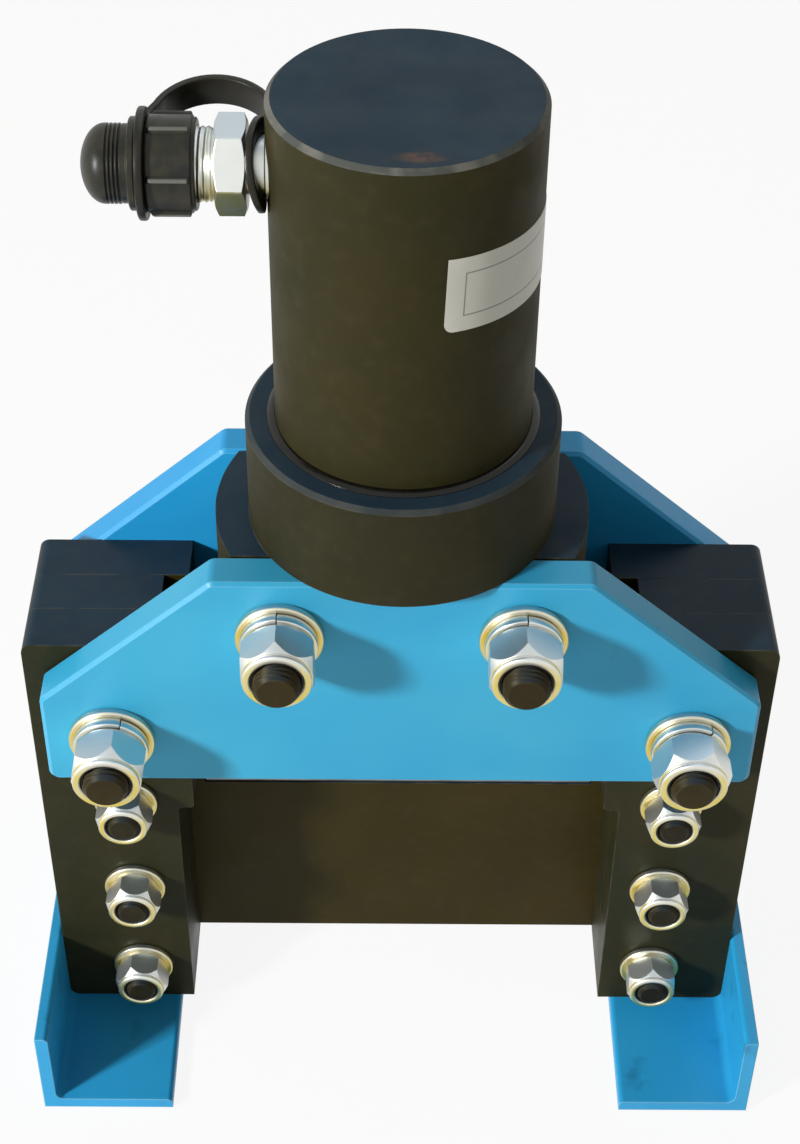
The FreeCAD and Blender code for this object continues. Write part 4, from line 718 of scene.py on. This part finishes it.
def black_plastic(name, low, high, roughness, grain_mm=0.5, crest=None):
    """Black plastic: nylon moulded satin, or a glossier one, a shade lighter where it
    has been handled, and grey beyond the crest, which is a distance from the coupler's
    axis: rubbing and a painted highlight. The grain is coarser than a real mould's, so that it shows."""
    material, tree, shader, place = new_finish(name)
    handled = add_node(tree, "TexNoise", {"Vector": place, "Scale": per_mm(6), "Detail": 4.0})
    handled = add_node(tree, "MapRange", {"Value": handled, "From Min": 0.4, "From Max": 0.75})
    tone = add_node(tree, "Mix", {SHARE: handled, UNDER: low, OVER: high}, **IN_COLOUR)
    if crest:
        # Grey beyond the crest: rubbing and a painted highlight on the ribs.
        reach = add_node(tree, "SeparateXYZ", {0: turned_place(tree, place, "X", COUPLER_AXIS)}, "X")
        wear_and_highlight = add_node(tree, "MapRange", {"Value": reach, "From Min": (crest - 0.5) * MM,
                                             "From Max": crest * MM, "To Max": 0.8})
        tone = add_node(tree, "Mix", {SHARE: wear_and_highlight, UNDER: tone, OVER: "#6E716A"}, **IN_COLOUR)
    grain = add_node(tree, "TexNoise", {"Vector": place, "Scale": per_mm(grain_mm), "Detail": 2.0})
    bump = add_node(tree, "Bump", {"Height": grain, "Distance": 0.012 * MM, "Strength": 1.0})
    feed(tree, shader, {
        "Base Color": tone,
        "Roughness": add_node(tree, "MapRange", {"Value": handled, "To Min": roughness - 0.05,
                                                 "To Max": roughness + 0.08}),
        "Normal": add_node(tree, "Bevel", {"Radius": 0.35 * MM, "Normal": bump}, samples=EDGE_RAYS),
        "IOR": 1.53,
        "Specular IOR Level": 0.25,
    })
    return material


# The nuts are silver, duller than the washers, with straw on their lower end faces:
# passivation and a painted ground reflection. The rings are black.
nut_zinc = yellow_zinc("nut_zinc_plate", silver="#DEDFDA", straw="#DECB68", roughness=0.4)
ring_nylon = black_plastic("locking_nylon", low="#141415", high="#1F1F21", roughness=0.45)

LARGE_NUT = {"radius": LARGE_RADIUS, "flats": LARGE_FLATS, "height": LARGE_NUT_HEIGHT,
             "rear": 11.7, "front": 11.95, "hex_height": 13.7, "collar": 11.7, "lip": 9.0}
nuts, rings = nut_set(LARGE_PLACES, (-2, 0, 10, 27), -LARGE_NUT_SEAT, LARGE_WASHER["outer"], LARGE_NUT)
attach(new_piece("large_nuts", nuts, nut_zinc, "zinc_plate", "large_lock_nuts"), "frame")
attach(new_piece("large_nut_rings", rings, ring_nylon, None), "frame")

SMALL_NUT = {"radius": SMALL_RADIUS, "flats": SMALL_FLATS, "height": SMALL_NUT_HEIGHT,
             "rear": 8.8, "front": 9.0, "hex_height": 10.3, "collar": 8.9, "lip": 6.75}
nuts, rings = nut_set(SMALL_PLACES, (39, 36, 36, 0, 35, 34), -SMALL_SEAT, SMALL_WASHER["outer"], SMALL_NUT)
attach(new_piece("small_nuts", nuts, nut_zinc, "zinc_plate", "small_lock_nuts"), "frame")
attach(new_piece("small_nut_rings", rings, ring_nylon, None), "frame")


# Sealant: a bead of black anaerobic sealant that was squeezed out where the barrel
# is screwed into the base. It is still glossy, and draws a bright line round the foot.

BEAD_PROFILE = [(0.02, 0.03), (0.02, 2.8), (0.3, 2.7), (0.8, 2.1), (1.2, 1.3), (1.4, 0.6), (1.4, 0.03)]

bead = skin([(BASE_TOP + rise, BARREL_RADIUS + reach) for rise, reach in BEAD_PROFILE],
            segments=140, closed=True)
# Near black and glossy, its surface wavy rather than grained.
sealant = black_plastic("squeezed_sealant", low="#0D0D0B", high="#171611", roughness=0.2, grain_mm=3.0)
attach(new_piece("barrel_sealant_bead", bead, sealant, None), "frame")


# Label: a white vinyl sticker wrapped round the barrel, a little crooked, with
# a thin grey frame printed inside its edge. It is blank.

LABEL_LENGTH = 64
LABEL_HEIGHT = 25.8
LABEL_LEVEL = 356.4
LABEL_START = math.radians(15.9)
LABEL_TILT = math.radians(-2.14)
LABEL_SINK = 0.03
LABEL_THICKNESS = 0.13


def white_vinyl(name):
    """Coated vinyl: a white greyed with painted shade, a soft gloss and a printed grey frame."""
    material, tree, shader, place = new_finish(name)
    across = add_node(tree, "UVMap", uv_map="label")
    # The frame is the line along which the larger of the two distances from it is nought.
    inside = None
    for axis, half in (("X", LABEL_LENGTH / 2 - 6), ("Y", LABEL_HEIGHT / 2 - 5.5)):
        offset = add_node(tree, "SeparateXYZ", {0: across}, axis)
        size = add_node(tree, "Math", {0: offset}, operation="ABSOLUTE")
        beyond = add_node(tree, "Math", {0: size, 1: half}, operation="SUBTRACT")
        inside = add_node(tree, "Math", {0: inside, 1: beyond}, operation="MAXIMUM") if inside else beyond
    away = add_node(tree, "Math", {0: inside}, operation="ABSOLUTE")
    line = add_node(tree, "MapRange", {"Value": away, "From Min": 0.3, "From Max": 0.16})
    aged = add_node(tree, "TexNoise", {"Vector": place, "Scale": per_mm(20), "Detail": 4.0})
    aged = add_node(tree, "MapRange", {"Value": aged, "From Min": 0.4, "From Max": 0.7})
    # The white stock is greyed, as painted shade.
    stock = add_node(tree, "Mix", {SHARE: aged, UNDER: "#C9C7BB", OVER: "#BEBDB1"}, **IN_COLOUR)
    ripple = add_node(tree, "TexNoise", {"Vector": place, "Scale": per_mm(9), "Detail": 1.0})
    feed(tree, shader, {
        "Base Color": add_node(tree, "Mix", {SHARE: line, UNDER: stock, OVER: "#7F7F7A"}, **IN_COLOUR),
        "Normal": add_node(tree, "Bump", {"Height": ripple, "Distance": 0.05 * MM, "Strength": 1.0}),
        "Roughness": 0.4,
    })
    return material


# Drawn flat with three corners rounded, cut every millimetre so that it bends, then wrapped.
label = bmesh.new()
corners = bmesh.ops.create_grid(label, x_segments=1, y_segments=1, size=1)["verts"]
bmesh.ops.scale(label, vec=(LABEL_LENGTH / 2, LABEL_HEIGHT / 2, 1), verts=corners)
rounded = [vert for vert in corners if vert.co.x > 0 or vert.co.y < 0]
bmesh.ops.bevel(label, geom=rounded, affect="VERTICES", offset=3, segments=5, profile=0.5, material=-1)
for step in range(1 - LABEL_LENGTH // 2, LABEL_LENGTH // 2):
    bmesh.ops.bisect_plane(label, geom=label.verts[:] + label.edges[:] + label.faces[:],
                           plane_co=(step + 0.4, 0, 0), plane_no=(1, 0, 0))
flat_map = label.loops.layers.uv.new("label")
for face in label.faces:
    for loop in face.loops:
        loop[flat_map].uv = loop.vert.co.xy
bmesh.ops.rotate(label, cent=(-LABEL_LENGTH / 2, 0, 0), matrix=Matrix.Rotation(LABEL_TILT, 3, "Z"),
                 verts=label.verts[:])
outer = bmesh.ops.extrude_face_region(label, geom=label.faces[:])["geom"]
lifted = {vert for vert in outer if isinstance(vert, bmesh.types.BMVert)}
for vert in label.verts:
    angle = (vert.co.x + LABEL_LENGTH / 2) / BARREL_RADIUS + LABEL_START
    reach = BARREL_RADIUS + LABEL_SINK + (LABEL_THICKNESS if vert in lifted else 0)
    vert.co = (reach * math.sin(angle), -reach * math.cos(angle), vert.co.y + LABEL_LEVEL)
bmesh.ops.recalc_face_normals(label, faces=label.faces[:])
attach(new_piece("barrel_label", label, white_vinyl("white_vinyl"), None), "frame")


# Coupler: an adaptor screwed into the port and half of a screw-on quick coupler,
# turned from hexagon bar, zinc plated, its thread left bare beside the cap.

valve_low, valve_high = box_mm("coupler_valve")
COUPLER_AXIS = (0, 0, (valve_low.z + valve_high.z) / 2)
TO_COUPLER = Matrix.Translation(COUPLER_AXIS) @ Matrix.Rotation(-math.pi / 2, 4, "Y")

# Levels along the coupler are measured from the barrel's axis.
adaptor = skin([
    (32.0, 3.2),
    (32.0, 8.35),
    (41.0, 8.35),
    (41.0, 9.9),
    (41.3, 10.2),
    (42.3, 10.2),
    (42.6, 9.9),
    (42.6, 9.0),
    (48.05, 9.0),
    (48.05, 8.4),
    (52.8, 8.4),
    (52.8, 3.2),
], closed=True)
# A colder silver than the nuts', straw only along the underside: passivation and a painted
# ground reflection.
coupler_zinc = yellow_zinc("coupler_zinc", silver="#DCDFDB", straw="#BCAC62", roughness=0.3, along_x=True)
whole = bmesh.new()
join(whole, adaptor, TO_COUPLER)
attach(new_piece("port_adaptor", whole, coupler_zinc, "zinc_plate", "coupler_adaptor"), "frame")

HEX_START = 48.05
HEX_END = 57.65
HEX_FACE_RADIUS = 13.3
THREAD_START = 58.4
THREAD_END = 71.8
THREAD_RADIUS = 11.5
THREAD_RUNOUT = 10.7
THREAD_STEPS = 72

hexa = hexagon(flats=27.2, turn=60.5)
stations = [
    (HEX_START, 8.45),
    (HEX_START, HEX_FACE_RADIUS),
    (turned_off(HEX_START, hexa, HEX_FACE_RADIUS, slope=0.45), hexa),
    (turned_off(HEX_END, hexa, HEX_FACE_RADIUS, slope=-0.45), hexa),
    (HEX_END, HEX_FACE_RADIUS),
    (HEX_END, 10.9),
    (58.2, 10.6),
    (THREAD_START, 10.6),
]
for step in range(THREAD_STEPS + 1):
    level = THREAD_START + (THREAD_END - THREAD_START) * step / THREAD_STEPS
    runout = THREAD_RUNOUT + min(level - THREAD_START, THREAD_END - level)
    stations.append((level, thread(THREAD_RADIUS, depth=0.6, pitch=1.8, level=level, limit=runout)))
stations += [
    (72.1, 10.2),
    (72.15, 9.4),
    (77.5, 9.4),
    (78.15, 8.75),
    (78.15, 4.4),
    (77.75, 4.0),
    (72.15, 4.0),
    (72.15, 6.4),
    (52.85, 6.4),
    (52.85, 8.45),
]
whole = bmesh.new()
join(whole, skin(stations, segments=140, closed=True), TO_COUPLER)
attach(new_piece("coupler_half", whole, coupler_zinc, "zinc_plate", "coupler_body"), "frame")
# The valve is bare grey steel with rings round its own axis.
valve_steel = turned_metal("valve_steel", roughness=0.3, axis="X", centre=COUPLER_AXIS, **STEEL)
finish_node("coupler_valve", valve_steel)


# Dust cap: moulded black nylon, screwed over the coupler. Six grip ribs run along
# the sleeve; a groove behind it takes the strap, and the closed end is a domed plug.

# The ribs are set out in degrees round the sleeve.
FIRST_RIB = 48
RIB_SPACING = 60
RIB_HALF_WIDTH = 4.4
RIB_FLANK = 2.4

SLEEVE_RADIUS = 14.7
PLUG_RADIUS = 12.1
FIRST_RIDGE = 85.8
RIDGE_PITCH = 1.25
DOME_FOOT = 90.95
DOME_HEIGHT = 7.5
DOME_STEPS = 13
BORE_RADIUS = 9.5


def ribbed(rise):
    """Distance from the axis at each angle of the sleeve with its six ribs."""
    def reach(angle):
        turned = (math.degrees(angle) - FIRST_RIB) % RIB_SPACING
        off_rib = min(turned, RIB_SPACING - turned)
        return SLEEVE_RADIUS + rise * min(1.0, max(0.0, (RIB_HALF_WIDTH - off_rib) / RIB_FLANK))
    return reach


stations = [(63.15, 11.65), (63.15, 13.6), (63.5, 14.0), (64.2, 14.0), (64.3, 14.4), (64.5, 14.65)]
stations += [(level, ribbed(rise)) for level, rise in ((64.7, 0.0), (64.9, 0.9), (65.2, 1.3), (76.2, 1.3),
                                                       (76.8, 0.9), (77.4, 0.0))]
stations += [
    (77.7, 14.6),
    (78.05, 14.3),
    (78.05, 11.9),
    (81.05, 11.9),
    (81.05, 13.7),
    (81.4, 14.1),
    (83.1, 14.1),
    (83.45, 13.7),
    (83.45, 12.2),
    (83.7, 11.95),
    (85.6, 11.95),
]
for ridge in range(4):
    foot = FIRST_RIDGE + ridge * RIDGE_PITCH
    stations += [(foot, 11.5), (foot + 0.3, 11.5), (foot + 0.5, PLUG_RADIUS), (foot + 1.05, PLUG_RADIUS)]
for step in range(DOME_STEPS):
    share = CIRCLE / 4 * step / DOME_STEPS
    stations.append((DOME_FOOT + DOME_HEIGHT * math.sin(share), PLUG_RADIUS * math.cos(share)))
inside = [
    (DOME_FOOT + DOME_HEIGHT, 0.6),
    (79.8, 0.6),
    (79.8, BORE_RADIUS),
    (72.25, BORE_RADIUS),
    (72.25, 11.65),
]
whole = bmesh.new()
join(whole, skin(stations + inside, segments=240, closed=True), TO_COUPLER)
# Satin black, a little brown where it is handled, with the ribs' crests grey: rubbing
# and a painted highlight.
cap_nylon = black_plastic("moulded_cap_nylon", low="#1C1D1A", high="#343123", roughness=0.4, crest=15.9)
piece = new_piece("moulded_dust_cap", whole, cap_nylon, "cap_plastic", "dust_cap")
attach(piece, "dust_cap")


# Strap: one flexible moulding that keeps the cap with the machine. A loop sits on
# the adaptor's neck, a flat band arches back and a ring turns in the cap's groove.

LOOP_LEVEL = 43.9
LOOP_LEAN = 3.0
LOOP_LEAN_AT = math.radians(138)
RING_LEVEL = 79.55
BAND_LEAN = math.radians(-80)
BAND_HALF_THICKNESS = 1.2
BAND_HALF_WIDTH = 5.2
ARCH_CENTRE = (-59.1, 14.7)
ARCH_HALF_WIDTH = 19.15
ARCH_RISE = 20.3


def eyelet(inner, outer, thickness, level):
    """A flat ring with rounded rims. Its level along the coupler may follow the angle."""
    half = thickness / 2
    profile = [
        (-half, inner + 0.3),
        (-half, outer - 0.6),
        (0.25 - half, outer - 0.15),
        (0.8 - half, outer),
        (half - 0.8, outer),
        (half - 0.25, outer - 0.15),
        (half, outer - 0.6),
        (half, inner + 0.3),
        (half - 0.3, inner),
        (0.3 - half, inner),
    ]
    stations = [(lambda angle, rise=rise: level(angle) + rise, reach) for rise, reach in profile]
    return skin(stations, closed=True)


def bent_loop(angle):
    """The loop's level: it leans away from the barrel on its front side."""
    return LOOP_LEVEL + LOOP_LEAN * max(0.0, math.cos(angle - LOOP_LEAN_AT)) ** 1.3


# The band's line from the ring over the arch to the loop: along the coupler, and out from it.
band_line = [(-RING_LEVEL, 12.5), (-RING_LEVEL, 14.8), (-79.3, 17.2), (-78.5, 19.6)]
for turn in range(158, 10, -6):
    band_line.append((ARCH_CENTRE[0] + ARCH_HALF_WIDTH * math.cos(math.radians(turn)),
                      ARCH_CENTRE[1] + ARCH_RISE * math.sin(math.radians(turn))))
band_line += [(-40.6, 17.2), (-41.6, 15.2), (-42.9, 13.4), (-43.7, 11.9), (-LOOP_LEVEL, 10.8)]

seats = []
for number, (x, rise) in enumerate(band_line):
    before = band_line[max(0, number - 1)]
    after = band_line[min(len(band_line) - 1, number + 1)]
    bearing = math.atan2(after[0] - before[0], after[1] - before[1])
    seats.append(Matrix.Translation((x, 0, rise)) @ Matrix.Rotation(bearing, 4, "Y"))

band = bmesh.new()
section = bmesh.ops.create_grid(band, x_segments=1, y_segments=1, size=1)["verts"]
bmesh.ops.scale(band, vec=(BAND_HALF_THICKNESS, BAND_HALF_WIDTH, 1), verts=section)
bmesh.ops.bevel(band, geom=section, affect="VERTICES", offset=0.7, segments=3, profile=0.5, material=-1)
bmesh.ops.transform(band, matrix=seats[0], verts=band.verts[:])
rim = band.edges[:]
for seat, following in zip(seats, seats[1:]):
    grown = bmesh.ops.extrude_edge_only(band, edges=rim)["geom"]
    moved = [item for item in grown if isinstance(item, bmesh.types.BMVert)]
    bmesh.ops.transform(band, matrix=following @ seat.inverted(), verts=moved)
    rim = [item for item in grown if isinstance(item, bmesh.types.BMEdge)]
bmesh.ops.edgeloop_fill(band, edges=rim)
bmesh.ops.recalc_face_normals(band, faces=band.faces[:])

strap = bmesh.new()
join(strap, eyelet(inner=9.6, outer=14.6, thickness=2.4, level=bent_loop), TO_COUPLER)
join(strap, eyelet(inner=12.1, outer=17.1, thickness=2.6, level=lambda angle: RING_LEVEL), TO_COUPLER)
join(strap, band, Matrix.Translation(COUPLER_AXIS) @ Matrix.Rotation(BAND_LEAN, 4, "X"))
# A brown-black, coarser in grain than the cap.
strap_plastic = black_plastic("flexible_strap_plastic", low="#17160F", high="#232117", roughness=0.42,
                              grain_mm=0.8)
piece = new_piece("cap_strap_moulding", strap, strap_plastic, "strap_plastic", "cap_strap", "cap_strap_ring")
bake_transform(piece)


# Floor, lamps and camera: a plain pale floor under soft studio light, seen from
# above the front with a short telephoto lens. Places and sizes here are in metres.

def background_ray(tree):
    """1 for the rays that should meet a white background: the eye's, and those that
    metal and gloss send out."""
    path = [add_node(tree, "LightPath", out=name) for name in
            ("Is Camera Ray", "Is Glossy Ray", "Is Transmission Ray")]
    either = add_node(tree, "Math", {0: path[0], 1: path[1]}, operation="MAXIMUM")
    return add_node(tree, "Math", {0: either, 1: path[2]}, operation="MAXIMUM")


floor_mesh = bpy.data.meshes.new("floor")
floor_shape = bmesh.new()
bmesh.ops.create_grid(floor_shape, x_segments=1, y_segments=1, size=6)
floor_shape.to_mesh(floor_mesh)
floor_shape.free()
floor = bpy.data.objects.new("floor", floor_mesh)
bpy.context.scene.collection.objects.link(floor)
# Those rays see nine tenths of plain white and one tenth of the lit floor with its shadow.
pale, tree, shader, place = new_finish("pale_floor")
feed(tree, shader, {"Base Color": "#F2F2F0", "Roughness": 0.9})
white = add_node(tree, "Emission", {"Color": "#FFFFFF", "Strength": 1.0})
share = add_node(tree, "Math", {0: background_ray(tree), 1: 0.9}, operation="MULTIPLY")
shown = add_node(tree, "MixShader", {0: share, 1: shader.outputs[0], 2: white})
feed(tree, tree.nodes["Material Output"], {"Surface": shown})
floor_mesh.materials.append(pale)

# White to those rays, and a dim, warmer white to all others, which fills the shadows.
world = bpy.data.worlds.new("studio")
world.use_nodes = True
tree = world.node_tree
seen = background_ray(tree)
level = add_node(tree, "MapRange", {"Value": seen, "To Min": 0.26, "To Max": 1.0})
glow = add_node(tree, "Mix", {SHARE: seen, UNDER: "#F5F3EC", OVER: "#FCFCFA"}, **IN_COLOUR)
feed(tree, tree.nodes["Background"], {"Color": glow, "Strength": level})
bpy.context.scene.world = world


def lamp(name, place, target, size, power):
    """A square soft lamp that faces its target."""
    light = bpy.data.lights.new(name, "AREA")
    light.size = size
    light.energy = power
    lit = bpy.data.objects.new(name, light)
    lit.location = place
    lit.rotation_euler = (Vector(target) - Vector(place)).to_track_quat("-Z", "Y").to_euler()
    bpy.context.scene.collection.objects.link(lit)


lamp("key", place=(-1.45, -1.1, 0.95), target=(0, 0, 0.2), size=0.22, power=41)
lamp("fill", place=(1.2, -0.9, 0.8), target=(0, 0, 0.2), size=1.0, power=0.4)
lamp("back", place=(0.3, 0.9, 1.9), target=(0, 0, 0.25), size=0.9, power=4)

LOOK_DOWN = 41.842
camera_data = bpy.data.cameras.new("camera")
camera_data.lens = 68.02
camera_data.clip_start = 0.01
camera = bpy.data.objects.new("camera", camera_data)
tilt = Matrix.Rotation(math.radians(90 - LOOK_DOWN), 4, "X")
pan = Matrix.Rotation(math.radians(-0.515), 4, "Z")
roll = Matrix.Rotation(math.radians(0.764), 4, "Z")
camera.matrix_world = Matrix.Translation((-0.00556, -0.5683, 0.72017)) @ pan @ tilt @ roll
bpy.context.scene.collection.objects.link(camera)
bpy.context.scene.camera = camera
bpy.context.scene.view_settings.view_transform = "Standard"
